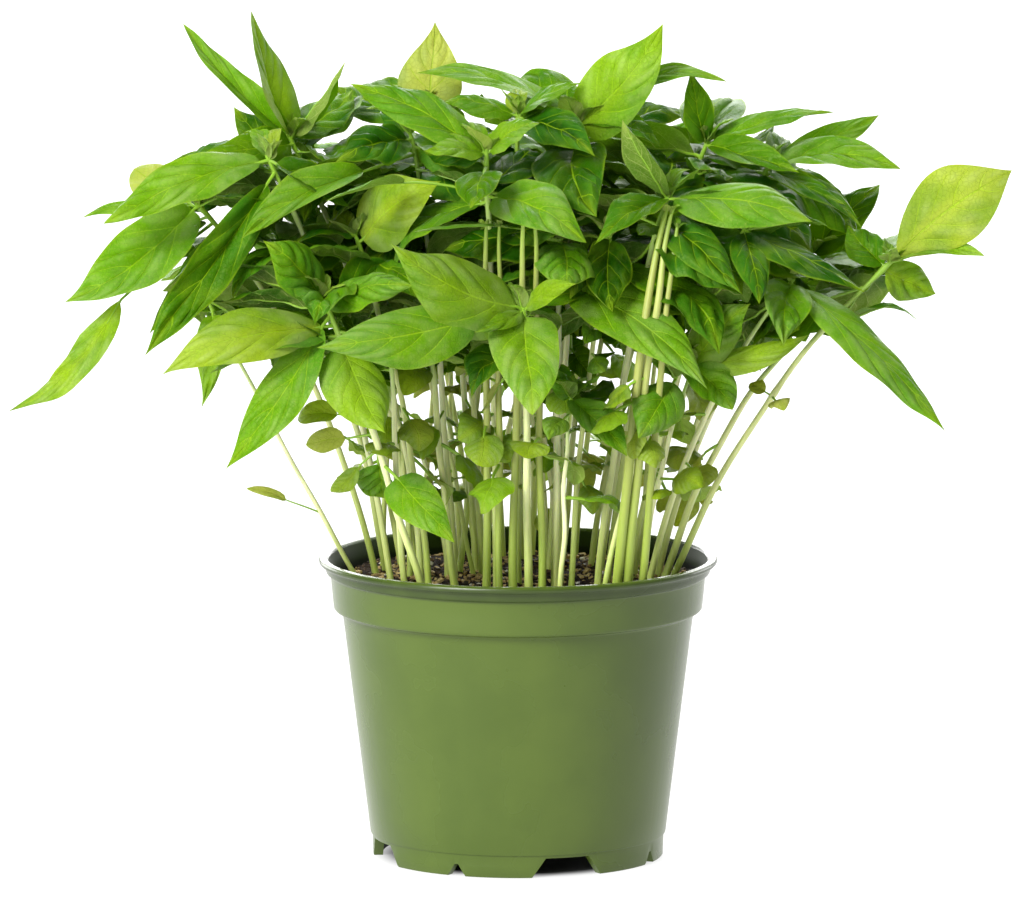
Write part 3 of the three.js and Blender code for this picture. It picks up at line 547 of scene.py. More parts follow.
def tube(path, radii, sides, turn=0.0, square=0.0):
    """A closed tube along a path (n, 3): its points, faces and UVs (place along, way round)."""
    path = np.asarray(path, float)
    n = len(path)
    along = unit_rows(np.gradient(path, axis=0))
    hint = np.array([1.0, 0, 0]) if abs(along[0][0]) < 0.8 else np.array([0, 1.0, 0])
    across = unit_rows(np.cross(along, hint))
    third = np.cross(along, across)
    angle = np.arange(sides) * 2 * np.pi / sides + turn
    swell = 1 + square * np.cos(4 * (angle - turn))
    ring = np.asarray(radii, float)[:, None] * swell[None, :]
    points = (
        path[:, None, :]
        + (ring * np.cos(angle))[..., None] * across[:, None, :]
        + (ring * np.sin(angle))[..., None] * third[:, None, :]
    ).reshape(-1, 3)
    faces = []
    for k in range(n - 1):
        for i in range(sides):
            j = (i + 1) % sides
            a, b = k * sides, (k + 1) * sides
            faces.append((a + i, b + i, b + j, a + j))
    faces.append(tuple(range(sides)))
    faces.append(tuple(range(n * sides - 1, (n - 1) * sides - 1, -1)))
    place = np.repeat(np.linspace(0, 1, n), sides)
    uvs = np.stack([place, np.tile(np.arange(sides) / sides, n)], axis=1)
    return points, faces, uvs


# ---- what grows in the gaps, which only the looks have ----
SISTERS = 22
SISTER_TRIES = 4000
SISTER_RING = 64
SISTER_ROOM = 5.5
# foot (x, y), bend and tip (x, y, z) of each thin front seedling, its radius, and its buds' size
THIN_STEMS = (
    ([37, -46], [43.5, -92, 207], [56, -66, 258], 2.2, 0.3),
    ([41.5, -46], [47, -90, 206], [58, -65, 257], 2.1, 0.3),
    ([46.5, -44], [53, -88, 202], [60, -65, 252], 1.8, 0.3),
    ([-2, -46], [0, -58, 205], [2, -79, 256], 1.9, 0.4),
    ([9, -48], [8, -58, 205], [6, -77, 256], 1.7, 0.4),
    ([-12, -46], [-12, -55, 205], [-12, -72, 253], 1.7, 0.3),
    ([-7, -50], [-7, -58, 205], [-7, -70, 253], 1.5, 0.3),
)
# leaves tried at each place of a stem, and the room one needs about it
TRIALS = 22
ROOM = 3.0
FILL_PLACES = (0.985, 0.95, 0.9, 0.84, 0.76)
# shortest and longest leaf that fills the crown, on a full seedling and on a thin one
FILL_LENGTHS = (26, 48)
SISTER_LENGTHS = (20, 38)
VIEW_TILT = math.radians(8.74)
CROWN_HEM = 180
CROWN_HALF_WIDTH = 166
CROWN_HALF_DEPTH = 106
# the gap under the right-hand leaves where a group of stems shows: across, up and front depth
STEM_GAP = ((42, 70), (162, 232), -35)
# two points nearer than this, across and up, stand before each other
BESIDE = 5


def cloud(leaf):
    """A few points over a leaf's blade."""
    shape = leaf_frame(leaf)
    v = np.array([0.15, 0.35, 0.55, 0.75, 0.95])
    u = (leaf["stalk"] + (1 - leaf["stalk"]) * v)[:, None]
    rib = bow(u, leaf["root"], shape["middle"], leaf["tip"])
    half = (leaf["width"] / 2 * outline(v) * 0.85)[:, None]
    return np.concatenate([rib, rib - half * shape["side"], rib + half * shape["side"]])


def seen_at(points):
    """Across, up and depth as seen from the front, a little from above."""
    y, z = points[:, 1], points[:, 2]
    up = y * math.sin(VIEW_TILT) + z * math.cos(VIEW_TILT)
    depth = y * math.cos(VIEW_TILT) - z * math.sin(VIEW_TILT)
    return np.stack([points[:, 0], up, depth], axis=1)


def in_canopy(points):
    """Whether a leaf keeps within the crown: under its dome, above its hem and inside its oval."""
    x, y, z = points.T
    top = np.where(x < 0, 303 - 38 * (x / 150) ** 4, 299 - 0.0024 * x**2) - 0.0012 * y**2
    low = CROWN_HEM + 0.3 * np.clip(np.abs(x) - 40, 0, 90)
    spread = (x / CROWN_HALF_WIDTH) ** 2 + (y / CROWN_HALF_DEPTH) ** 2
    return bool(np.all(z < top) and np.all(z > low) and np.all(spread < 1))


def hides(points, shown):
    """Whether a leaf would stand before one of the leaves that make the front, or before the
    stems where they show."""
    mine = seen_at(points)
    x, up, depth = mine.T
    (left, right), (low, high), front = STEM_GAP
    if np.any((x > left) & (x < right) & (up > low) & (up < high) & (depth < front)):
        return True
    gap = mine[:, None, :] - shown[None, :, :]
    over = (np.abs(gap[..., 0]) < BESIDE) & (np.abs(gap[..., 1]) < BESIDE) & (gap[..., 2] < -1)
    return int(over.sum()) > 1


def free_leaf(plant, t, lengths, taken, shown, draws):
    """The roomiest of a few leaves that could grow at a place on a stem, or none."""
    best, found = ROOM, None
    for _ in range(TRIALS):
        long = draws.between(*lengths)
        leaf = moved_leaf(plant, {
            "t": t, "long": long, "tilt": draws.between(-42, 34), "around": draws.between(0, 360),
            "roll": draws.between(-0.9, 0.9), "width": long * draws.between(0.42, 0.58),
            "arch": draws.between(0.08, 0.2), "stalk": draws.between(0.1, 0.2), "front": False,
            "tone": draws.between(-0.05, 0.38),
        }, [0, 0, 0])
        points = cloud(leaf)
        if not in_canopy(points) or hides(points, shown):
            continue
        away = np.linalg.norm(points[:, None, :] - taken[None, :, :], axis=2)
        if away.min() > best:
            best, found = away.min(), leaf
    return found


def sister_seedlings(plants, shown, draws):
    """Thin seedlings between the others, which stand before none of the front leaves."""
    sisters = []
    tries = 0
    while len(sisters) < SISTERS and tries < SISTER_TRIES:
        tries += 1
        r = SISTER_RING * math.sqrt(draws.one())
        turn = draws.between(0, 2 * math.pi)
        base = [r * math.cos(turn), r * math.sin(turn)]
        if any(math.dist(base, other["base"]) < SISTER_ROOM for other in plants + sisters):
            continue
        lean = draws.between(0.9, 1.6)
        top = [base[0] * lean + draws.between(-26, 26), base[1] * lean + draws.between(-18, 18),
               draws.between(190, 262)]
        sister = {"base": base, "top": top, "radius": draws.between(1.0, 1.6), "grown": []}
        sister["control"] = plain_control(sister)
        sister["control"][0] += draws.between(-7, 7)
        sister["control"][1] += draws.between(-5, 5)
        if not hides(stem_point(sister, np.linspace(0.3, 1, 30)), shown):
            sisters.append(sister)
    return sisters


def thin_stems():
    """The thin seedlings seen through gaps in the crown's front, with only buds of their own."""
    keys = ("base", "control", "top", "radius", "young")
    return [{**dict(zip(keys, row)), "grown": []} for row in THIN_STEMS]


def front_view(plants):
    """Where the leaves that make the front are seen."""
    return seen_at(np.concatenate(
        [cloud(leaf) for p in plants for leaf in p["grown"] if leaf["front"]]))


def fill_canopy(plants, sisters, shown):
    """Adds leaves where the crown has room for them, behind the leaves that make the front."""
    draws = Draws(FILL_SEED)
    taken = np.concatenate([cloud(leaf) for p in plants for leaf in p["grown"]])
    growing = [(p, FILL_LENGTHS) for p in plants] + [(p, SISTER_LENGTHS) for p in sisters]
    for t in FILL_PLACES:
        for plant, lengths in growing:
            leaf = free_leaf(plant, t, lengths, taken, shown, draws)
            if leaf is not None:
                plant["grown"].append(leaf)
                taken = np.concatenate([taken, cloud(leaf)])


# ---- leaves ----
ACROSS = np.array([-1, -0.88, -0.7, -0.5, -0.3, -0.13, 0, 0.13, 0.3, 0.5, 0.7, 0.88, 1])
VEINS = 5
VEIN_POWER = 0.88
BROADER = 1.08
USUAL_WIDTH = 24
STEM, TOP, UNDER = 0, 1, 2
# rows along a blade: large ones at the front, other large ones, middling ones and small ones
FRONT_ROWS, LARGE_ROWS, MIDDLING_ROWS, SMALL_ROWS = 34, 28, 22, 16
LARGE_LEAF = 17
MIDDLING_LEAF = 10
SHORT_STALK = 0.18
# low down, narrow leaves are round, and painted light makes them paler against the shade under the
# crown
LOW_LEAF = 0.7
LOW_WIDTH = 16
LOW_PAINTED_LIGHT = 0.3
ROUND = {"pucker": 0.2, "crumple": 0.2, "widest": 0.95, "full": 0.5, "drawn": 0.1}
# stems: how stout the looks make them, rings and sides, tone, and how far up they turn green
STOUT, SISTER_STOUT = 0.8, 0.9
STEM_RINGS, STEM_SIDES = 26, 12
# the thin stems' tones lie below 0, which paints shade on them in the stem material
STEM_TONE, THIN_PAINTED_SHADE_TONE = (0.1, 0.9), (-1.0, -0.6)
STEM_RIPE, THIN_RIPE = 0.64, 0.55
# a stalk's place in the stem's colours: from here to the green end
STALK_FROM = 0.72
# rise in degrees and length of the unfolding leaves at a tip
BUDS = ((34, 17), (38, 15), (58, 11), (62, 9), (78, 7))


def leaf_look(draws):
    """How a blade is bent: angles in radians, heights in millimetres for a blade 24 mm wide."""
    return {
        "fold": math.radians(draws.between(2, 38)),
        "roll": math.radians(draws.between(14, 72)),
        "skew": math.radians(draws.between(-12, 12)),
        "twist": math.radians(draws.between(-28, 28)),
        "sweep": draws.between(-0.07, 0.07),
        "hook": draws.between(-0.06, 0.06),
        "curl": draws.between(-0.15, 0.5),
        "pucker": draws.between(0.8, 1.5),
        "wave": draws.between(0.6, 1.7),
        "phase": draws.between(0, 1),
        "crumple": draws.between(0.3, 0.8),
        "uneven": draws.between(0.02, 0.08),
        "widest": draws.between(0.68, 0.9),
        "full": draws.between(0.56, 0.76),
        "drawn": draws.between(0.2, 0.65),
    }


def spine(leaf, look):
    """Closely spaced points along a leaf's midrib, with the directions across and up there."""
    shape = leaf_frame(leaf)
    u = np.linspace(0, 1, 70)[:, None]
    path = bow(u, leaf["root"], shape["middle"], leaf["tip"])
    v = np.clip((u - leaf["stalk"]) / (1 - leaf["stalk"]), 0, 1)
    curl = (np.clip(v - 0.55, 0, 1) / 0.45) ** 2 - v
    path = path - shape["up"] * look["curl"] * leaf["width"] * curl
    path = path + shape["side"] * look["sweep"] * shape["length"] * 4 * v * (1 - v)
    path = path + shape["side"] * look["hook"] * shape["length"] * np.clip(v - 0.6, 0, 1) ** 2 * 6
    along = unit_rows(np.gradient(path, axis=0))
    up = unit_rows(shape["up"] - (along @ shape["up"])[:, None] * along)
    side = np.cross(along, up)
    twist = look["twist"] * (v - 0.35)
    turned_side = side * np.cos(twist) + up * np.sin(twist)
    turned_up = up * np.cos(twist) - side * np.sin(twist)
    return u[:, 0], path, turned_side, turned_up


def along_spine(u, stations, values):
    return np.stack([np.interp(u, stations, values[:, k]) for k in range(3)], axis=-1)


def bowed(s, fold, roll):
    """How far out and up a half blade reaches: it leaves the rib at the fold's angle and
    bends down by the roll's towards the margin."""
    s = np.abs(s)
    roll = np.maximum(roll, 0.05)
    out = (np.sin(fold) - np.sin(fold - roll * s)) / roll
    up = (np.cos(fold - roll * s) - np.cos(fold)) / roll
    return out, up


def blade(leaf, look, rows, across):
    """A leaf blade as a thin closed sheet: its points, faces, materials and UVs."""
    a = np.linspace(0, 1, rows + 1)[:, None] ** 1.5
    s = across[None, :]
    reach = np.abs(s)
    v = a + 0.7 * (1 - a) * (1 - np.exp(-6 * a)) * reach**1.15
    stations, path, side, up = spine(leaf, look)
    u = leaf["stalk"] + (1 - leaf["stalk"]) * v
    point, side, up = (along_spine(u, stations, values) for values in (path, side, up))
    half = outline(v, look["widest"], look["full"], look["drawn"])
    half = half * (1 + look["uneven"] * np.sin(2 * np.pi * (1.2 * v + look["phase"]) + 2 * s))
    half = BROADER * leaf["width"] / 2 * half + 0.4 * (1 - v) ** 4
    fold = look["fold"] * (1.25 - 0.7 * v) + look["skew"] * np.sign(s)
    roll = look["roll"] * (0.7 + 0.5 * v)
    out, lift = bowed(s, fold, roll)
    size = leaf["width"] / USUAL_WIDTH
    vein = np.abs(np.sin(np.pi * VEINS * a**VEIN_POWER))
    bulge = look["pucker"] * size * (vein**0.6 - 0.6) * np.clip(reach * 4, 0, 1) * (1 - reach**4)
    turn = look["phase"] + 0.4 * (s > 0)
    wave = look["wave"] * size * reach**2.2 * (
        np.sin(2 * np.pi * (1.3 * v + turn)) + 0.5 * np.sin(2 * np.pi * (3.3 * v + 2 * turn)))
    crease = look["crumple"] * size * (
        np.sin(2 * np.pi * (0.9 * s + 1.7 * v + look["phase"]))
        + np.sin(2 * np.pi * (-1.2 * s + 2.9 * v - 2 * look["phase"])))
    fade = np.clip(5 * v, 0, 1) * np.clip(5 * (1 - v), 0, 1)
    groove = 0.3 * size * np.exp(-((s / 0.1) ** 2))
    lift = lift * half + (bulge + wave + crease - groove) * fade
    top = point + side * (np.sign(s) * out * half)[..., None] + up * lift[..., None]
    thick = (0.14 + 0.16 * (1 - reach**2)) * np.ones_like(v)
    middle = len(across) // 2
    rib = (u[:, middle], top[:, middle], up[:, middle])
    return sheet_from(top, top - up * thick[..., None], a, s), rib


def sheet_from(top, under, a, s):
    """Joins two grids at their sides, base and tip into one closed sheet."""
    n, m = top.shape[:2]
    index_top = np.arange(n * m).reshape(n, m)
    index_under = index_top.copy()
    inner = np.zeros((n, m), bool)
    inner[1:-1, 1:-1] = True
    index_under[inner] = n * m + np.arange(inner.sum())
    index_top[-1, :] = index_top[-1, m // 2]
    index_under[-1, :] = index_top[-1, m // 2]
    points = np.concatenate([top.reshape(-1, 3), under[inner]])
    place = np.stack([
        np.broadcast_to((s + 1) / 2, (n, m)), np.broadcast_to(a, (n, m))], axis=-1)
    uvs = np.concatenate([place.reshape(-1, 2), place[inner]])
    faces, kinds = [], []
    for i in range(n - 1):
        for j in range(m - 1):
            for index, kind, flip in ((index_top, TOP, False), (index_under, UNDER, True)):
                face = [index[i, j], index[i, j + 1], index[i + 1, j + 1], index[i + 1, j]]
                face = list(dict.fromkeys(int(k) for k in face))
                faces.append([face[0], *face[:0:-1]] if flip else face)
                kinds.append(kind)
    used = sorted({k for face in faces for k in face})
    renumber = {k: i for i, k in enumerate(used)}
    faces = [[renumber[k] for k in face] for face in faces]
    return points[used], faces, kinds, uvs[used]


def blade_rows(leaf):
    if leaf["width"] >= LARGE_LEAF:
        return FRONT_ROWS if leaf["front"] else LARGE_ROWS
    return MIDDLING_ROWS if leaf["width"] >= MIDDLING_LEAF else SMALL_ROWS


def add_leaf(builder, leaf, look, tone):
    """A leaf's blade, and its stalk, which runs on under the blade as its midrib."""
    large = leaf["width"] >= LARGE_LEAF
    across = ACROSS if large else ACROSS[::2]
    sheet, (stations, rib, rib_up) = blade(leaf, look, blade_rows(leaf), across)
    builder.add(*sheet, tone)
    u = np.linspace(0, 0.88, 16 if large else 9)
    free, path, _, up = spine(leaf, look)
    path, up = along_spine(u, free, path), along_spine(u, free, up)
    under = u > leaf["stalk"]
    path[under] = along_spine(u[under], stations, rib)
    up[under] = along_spine(u[under], stations, rib_up)
    size = min(1.0, 0.35 + leaf["width"] / 32)
    v = np.clip((u - leaf["stalk"]) / (1 - leaf["stalk"]), 0, 1)
    radii = size * np.interp(u, [0, leaf["stalk"], 0.45, 0.9], [0.85, 0.62, 0.36, 0.14])
    sunk = np.clip(v * 14, 0, 1) * (radii + 0.1)
    points, faces, uvs = tube(path - up * sunk[:, None], radii, 6)
    builder.add(points, faces, STEM, uvs * [0.28, 1] + [STALK_FROM, 0], tone)


def add_stem(builder, plant, draws, stout):
    """A stem from down in the soil to its tip, a little wavy and swollen where leaves leave it."""
    wobble = [draws.between(-0.5, 0.5) for _ in range(4)]
    low = np.array([[*plant["base"], z] for z in (SOIL_Z - 12.0, SOIL_Z - 4.0)], float)
    t = np.linspace(0, 1, STEM_RINGS)
    path = stem_point(plant, t)
    slow, quick = np.sin(np.pi * t * 2), np.sin(np.pi * t * 5)
    path[:, 0] += wobble[0] * slow + wobble[1] * quick
    path[:, 1] += wobble[2] * slow + wobble[3] * quick
    radii = stout * stem_radius(plant, t) * (1 - 0.3 * np.clip(t - 0.7, 0, 1) / 0.3)
    for leaf in plant["grown"]:
        radii = radii + 0.2 * np.exp(-(((t - leaf["t"]) / 0.016) ** 2))
    radii[0] *= 1.12
    radii[-1] *= 0.7
    path = np.concatenate([low, path])
    radii = np.concatenate([[radii[0]] * 2, radii])
    points, faces, uvs = tube(path, radii, STEM_SIDES, draws.between(0, 1.5), 0.06)
    thin = "young" in plant
    tone = draws.between(*(THIN_PAINTED_SHADE_TONE if thin else STEM_TONE))
    builder.add(points, faces, STEM, uvs * [THIN_RIPE if thin else STEM_RIPE, 1], tone)


def young_leaf(plant, t, heading, tilt, long, share, stalk, arch):
    """One of the smallest leaves, which only the looks have."""
    leaf = {
        "t": t, "long": long, "tilt": tilt, "around": heading, "roll": 0.0,
        "width": long * share, "arch": arch, "stalk": stalk, "front": False,
    }
    return moved_leaf(plant, leaf, [0, 0, 0])


def add_buds(builder, plant, draws):
    """The unfolding leaves at a stem's tip, the outer pair longest."""
    heading = draws.between(0, 360)
    for k, (tilt, long) in enumerate(BUDS):
        long *= draws.between(0.8, 1.2) * plant.get("young", 1.0)
        bud = young_leaf(plant, HIGHEST_LEAF, heading + 90 * k + draws.between(-15, 15),
                         tilt + draws.between(-10, 10), long, 0.5, 0.06, 0.14)
        look = {**leaf_look(draws), "pucker": 1.3, "fold": math.radians(draws.between(14, 40))}
        add_leaf(builder, bud, look, draws.between(0.5, 0.78))


def add_seed_leaves(builder, plant, draws):
    """Pairs of round first leaves low on the stem, where nothing else grows."""
    if any(leaf["t"] < 0.6 for leaf in plant["grown"]):
        return
    heading = draws.between(0, 360)
    for t in (draws.between(0.26, 0.38), draws.between(0.44, 0.56)):
        for k in range(2):
            if draws.one() < 0.55:
                continue
            leaf = young_leaf(plant, t, heading + 180 * k + draws.between(-16, 16),
                              draws.between(-62, 8), draws.between(16, 25),
                              draws.between(0.6, 0.78), draws.between(0.3, 0.42), 0.16)
            look = {**leaf_look(draws), **ROUND, "fold": draws.between(0, 0.3)}
            # their pale tones are partly the first leaves' own paler green and partly painted
            # light against the shade low in the bush
            add_leaf(builder, leaf, look, draws.between(0.58, 0.95))
        heading += 90


def leaf_tone(leaf, draws):
    """A leaf's own tone, or a drawn one, which painted shade makes a little darker to the right.
    """
    if "tone" in leaf:
        return leaf["tone"]
    # painted shade: the further right a leaf's tip, the darker its drawn tone
    return draws.between(-0.08, 0.4) - leaf["tip"][0] / 1500


def build_plant(name, plant, materials, draws, stout):
    builder = Builder()
    add_stem(builder, plant, draws, stout)
    for leaf in plant["grown"]:
        tone = leaf_tone(leaf, draws)
        look = leaf_look(draws)
        if leaf["stalk"] < SHORT_STALK:
            leaf = {**leaf, "stalk": leaf["stalk"] * 0.5}
        if leaf["t"] < LOW_LEAF and leaf["width"] < LOW_WIDTH:
            look.update(ROUND)
            # painted light: a low leaf's tone is raised against the shade under the crown
            tone += LOW_PAINTED_LIGHT
        add_leaf(builder, leaf, {**look, **leaf.get("look", {})}, tone)
    add_buds(builder, plant, draws)
    add_seed_leaves(builder, plant, draws)
    made = builder.piece(name, materials)
    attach(made, "root")
    if "node" in plant:
        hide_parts(plant["node"])


# ---- the pot ----
def notches():
    """Each notch of the foot ring: its middle, and its width low down and at its top, in
    degrees, and its height."""
    for quarter in range(0, 360, 90):
        yield NOTCH_START - 90 + quarter, 29, 18, 7.4
        yield NOTCH_START - 45 + quarter, 7.5, 1.5, 4.6


def notch_height(angle):
    """How far the foot ring's lower edge is raised at an angle, in degrees from +X."""
    height = 0.0
    for centre, base, top, tall in notches():
        away = abs((angle - centre + 180) % 360 - 180)
        rise = (base / 2 - away) / ((base - top) / 2)
        height = max(height, tall * min(1.0, max(0.0, rise)))
    return height


def pot_angles():
    """Every two degrees, with the corners of the notches."""
    angles = set(range(0, 360, 2))
    for centre, base, top, _ in notches():
        for half in (base / 2, top / 2):
            angles |= {(centre - half) % 360, (centre + half) % 360}
    ordered = sorted(angles)
    return [a for i, a in enumerate(ordered) if i == 0 or a - ordered[i - 1] > 0.2]


def arc(cx, cz, r, first, last, steps):
    return [
        (cx + r * math.cos(math.radians(first + (last - first) * i / steps)),
         cz + r * math.sin(math.radians(first + (last - first) * i / steps)))
        for i in range(steps + 1)
    ]


def pot_section():
    """The wall from the foot ring's lower edge up the outside, over the lip and down inside."""
    top = POT_HEIGHT
    outside = [
        (FOOT_INNER_R + 0.2, 0), (FOOT_R - 0.3, 0), (FOOT_R, 0.4), (FOOT_R + 0.15, 4.6),
        (FOOT_R + 0.3, FOOT_HEIGHT - 0.5), (FOOT_R + 0.45, FOOT_HEIGHT),
        (BODY_BASE_R - 0.15, FOOT_HEIGHT + 0.15), (BODY_BASE_R + 0.05, FOOT_HEIGHT + 0.6),
    ]
    for i in range(1, 10):
        share = i / 10
        outside.append((BODY_BASE_R + share * (BODY_TOP_R - BODY_BASE_R),
                        FOOT_HEIGHT + 0.5 + share * (BAND_BASE_Z - FOOT_HEIGHT - 1.6)))
    outside += [
        (BODY_TOP_R, BAND_BASE_Z - 1.6), (BODY_TOP_R + 0.25, BAND_BASE_Z - 0.9),
        (BODY_TOP_R + 1.0, BAND_BASE_Z - 0.35), (BAND_BASE_R - 1.1, BAND_BASE_Z - 0.1),
        (BAND_BASE_R - 0.45, BAND_BASE_Z + 0.1), (BAND_BASE_R - 0.1, BAND_BASE_Z + 0.55),
        (BAND_BASE_R, BAND_BASE_Z + 1.3), (BAND_BASE_R + 0.5, BAND_BASE_Z + 6),
        (BAND_TOP_R - 0.1, top - 7.4), (BAND_TOP_R + 0.15, top - 6.7),
        (LIP_R - 3.6, top - 6.25), (LIP_R - 2.9, top - 5.9), (LIP_R - 2.65, top - 5.3),
        (LIP_R - 2.6, top - 4.2), (LIP_R - 2.5, top - 3.4), (LIP_R - 2.2, top - 2.95),
        (LIP_R - 1.2, top - 2.75),
    ]
    outside += arc(LIP_R - 1.3, top - 1.45, 1.3, -75, 90, 8)
    outside += [(LIP_R - 2.4, top - 0.1), (LIP_R - 3.2, top - 0.5), (LIP_R - 3.75, top - 1.3)]
    inside = [
        (BAND_TOP_R - WALL + 0.4, top - 3.5), (BAND_TOP_R - WALL - 0.35, top - 7),
        (BAND_BASE_R - WALL - 0.1, BAND_BASE_Z + 4), (BAND_BASE_R - WALL - 0.3, BAND_BASE_Z + 1),
        (BODY_TOP_R - WALL, BAND_BASE_Z - 2.5), (BODY_BASE_R - WALL, FOOT_HEIGHT + 2),
        (DRAIN_RING_R + 10, FOOT_HEIGHT + 2), (DRAIN_RING_R + 10, FOOT_HEIGHT),
        (FOOT_INNER_R - 0.1, FOOT_HEIGHT),
    ]
    return outside + inside, len(outside)


def notched(r, z, low):
    """A height of the section, raised where the foot ring's edge is cut away up to low."""
    if z >= FOOT_HEIGHT - 0.2 or r <= 50:
        return z
    return max(z, low + (0.0 if z < 0.3 else min(0.02 * z, 0.1)))


def build_pot(materials):
    """The wall turned about the pot's axis, with the foot ring's lower edge cut into notches,
    and the floor with its drain holes."""
    builder = Builder()
    angles = pot_angles()
    section, outer = pot_section()
    points, uvs, kinds = [], [], []
    for angle in angles:
        turn = math.radians(angle)
        low = notch_height(angle)
        for r, z in section:
            z = notched(r, z, low)
            points.append((r * math.cos(turn), r * math.sin(turn), z))
            uvs.append((angle / 360, z / POT_HEIGHT))
    m, n = len(section), len(angles)
    faces = []
    for i in range(n):
        j = (i + 1) % n
        for k in range(m):
            up = (k + 1) % m
            faces.append((i * m + k, j * m + k, j * m + up, i * m + up))
            # the inner wall and floor take material 1, a copy of the plastic with painted shade
            kinds.append(0 if k < outer - 1 else 1)
    builder.add(points, faces, kinds, uvs)
    add_floor(builder)
    made = builder.piece("nursery_pot", materials, 40)
    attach(made, "root")
    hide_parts("pot")


def add_floor(builder):
    """The pot's floor: a disc with four drain holes, each a ring of points joined to a web."""
    rim, thick = DRAIN_RING_R + 10.2, 2.0
    sides = 16
    angles = [360 / sides * i for i in range(sides)]
    for k in range(4):
        middle = NOTCH_START + 90 * k
        cx = DRAIN_RING_R * math.cos(math.radians(middle))
        cy = DRAIN_RING_R * math.sin(math.radians(middle))
        hole = [(cx + DRAIN_R * math.cos(math.radians(a + middle)),
                 cy + DRAIN_R * math.sin(math.radians(a + middle))) for a in angles]
        edge = [quarter_edge(rim, middle, a, cx, cy) for a in angles]
        points, faces = [], []
        for z in (FOOT_HEIGHT + thick, FOOT_HEIGHT):
            points += [(x, y, z) for x, y in hole] + [(x, y, z) for x, y in edge]
        for i in range(sides):
            j = (i + 1) % sides
            faces.append((i, sides + i, sides + j, j))
            faces.append((2 * sides + i, 2 * sides + j, 3 * sides + j, 3 * sides + i))
            faces.append((i, j, 2 * sides + j, 2 * sides + i))
            faces.append((sides + i, 3 * sides + i, 3 * sides + j, sides + j))
        builder.add(points, faces, 1, [(x / 200, y / 200) for x, y, z in points])


def quarter_edge(rim, middle, angle, cx, cy):
    """Where a line from a drain hole at an angle meets the edge of its quarter of the floor."""
    turn = math.radians(angle + middle)
    dx, dy = math.cos(turn), math.sin(turn)
    reach = []
    for side in (-45, 45):
        normal = math.radians(middle + side + (90 if side > 0 else -90))
        nx, ny = math.cos(normal), math.sin(normal)
        slope = dx * nx + dy * ny
        if slope > 1e-6:
            reach.append(-(cx * nx + cy * ny) / slope)
    b = cx * dx + cy * dy
    reach.append(-b + math.sqrt(b * b - (cx * cx + cy * cy - rim * rim)))
    far = min(reach)
    return cx + far * dx, cy + far * dy


# ---- the soil ----
HEAP = 3.6
SOIL_R = BAND_BASE_R - WALL - 0.3 - SOIL_CLEAR
SOIL_RINGS, SOIL_SIDES = 51, 150
CHIPS = 1500
DARK, LIGHT, PERLITE = 0, 1, 2
CRUMBS_AT_STEM = 9


def soil_level(x, y):
    r = np.hypot(x, y)
    angle = np.arctan2(y, x)
    mound = 1.1 * np.cos(r / 70 * 1.5)
    lumps = 0.5 * np.sin(3 * angle + r * 0.11) + 0.4 * np.sin(5 * angle - r * 0.17)
    return SOIL_Z + HEAP + mound + lumps * np.minimum(1, r / 30)


def crumbs(x, y):
    """Fine uneven ground, from a few crossed waves."""
    total = np.zeros_like(x)
    for k, (scale, tall) in enumerate(((0.9, 0.35), (1.7, 0.28), (2.9, 0.2), (4.3, 0.12))):
        total += tall * np.sin(scale * x + 1.3 * k) * np.cos(scale * 1.13 * y - 0.7 * k)
        total += tall * np.sin(scale * 0.8 * (x + y) + 2.1 * k) * 0.7
    return total


def build_soil(material):
    """The block of soil, with its uneven top."""
    builder = Builder()
    sides = SOIL_SIDES
    radii = np.linspace(0, SOIL_R + 0.8, SOIL_RINGS + 1)[1:]
    angle = np.arange(sides) * 2 * np.pi / sides
    x = (radii[:, None] * np.cos(angle)).ravel()
    y = (radii[:, None] * np.sin(angle)).ravel()
    z = soil_level(x, y) + crumbs(x, y)
    points = [(0, 0, float(soil_level(0.0, 0.0)))] + list(zip(x, y, z))
    wall = [
        (SOIL_R, BAND_BASE_Z + 1), (BODY_TOP_R - WALL - SOIL_CLEAR, BAND_BASE_Z - 2.7),
        (BODY_BASE_R - WALL - SOIL_CLEAR - 0.1, FOOT_HEIGHT + 2 + SOIL_CLEAR),
    ]
    for r, level in wall:
        points += [(r * math.cos(a), r * math.sin(a), level) for a in angle]
    points.append((0, 0, FOOT_HEIGHT + 2 + SOIL_CLEAR))
    rows = len(radii) + len(wall)
    faces = []
    for i in range(sides):
        j = (i + 1) % sides
        faces.append((0, 1 + i, 1 + j))
        for k in range(rows - 1):
            a, b = 1 + k * sides, 1 + (k + 1) * sides
            faces.append((a + i, b + i, b + j, a + j))
        last = 1 + (rows - 1) * sides
        faces.append((last + i, len(points) - 1, last + j))
    builder.add(points, faces, 0, [(p[0] / 150, p[1] / 150) for p in points])
    made = builder.piece("potting_soil", [material], 60)
    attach(made, "root")
    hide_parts("soil")


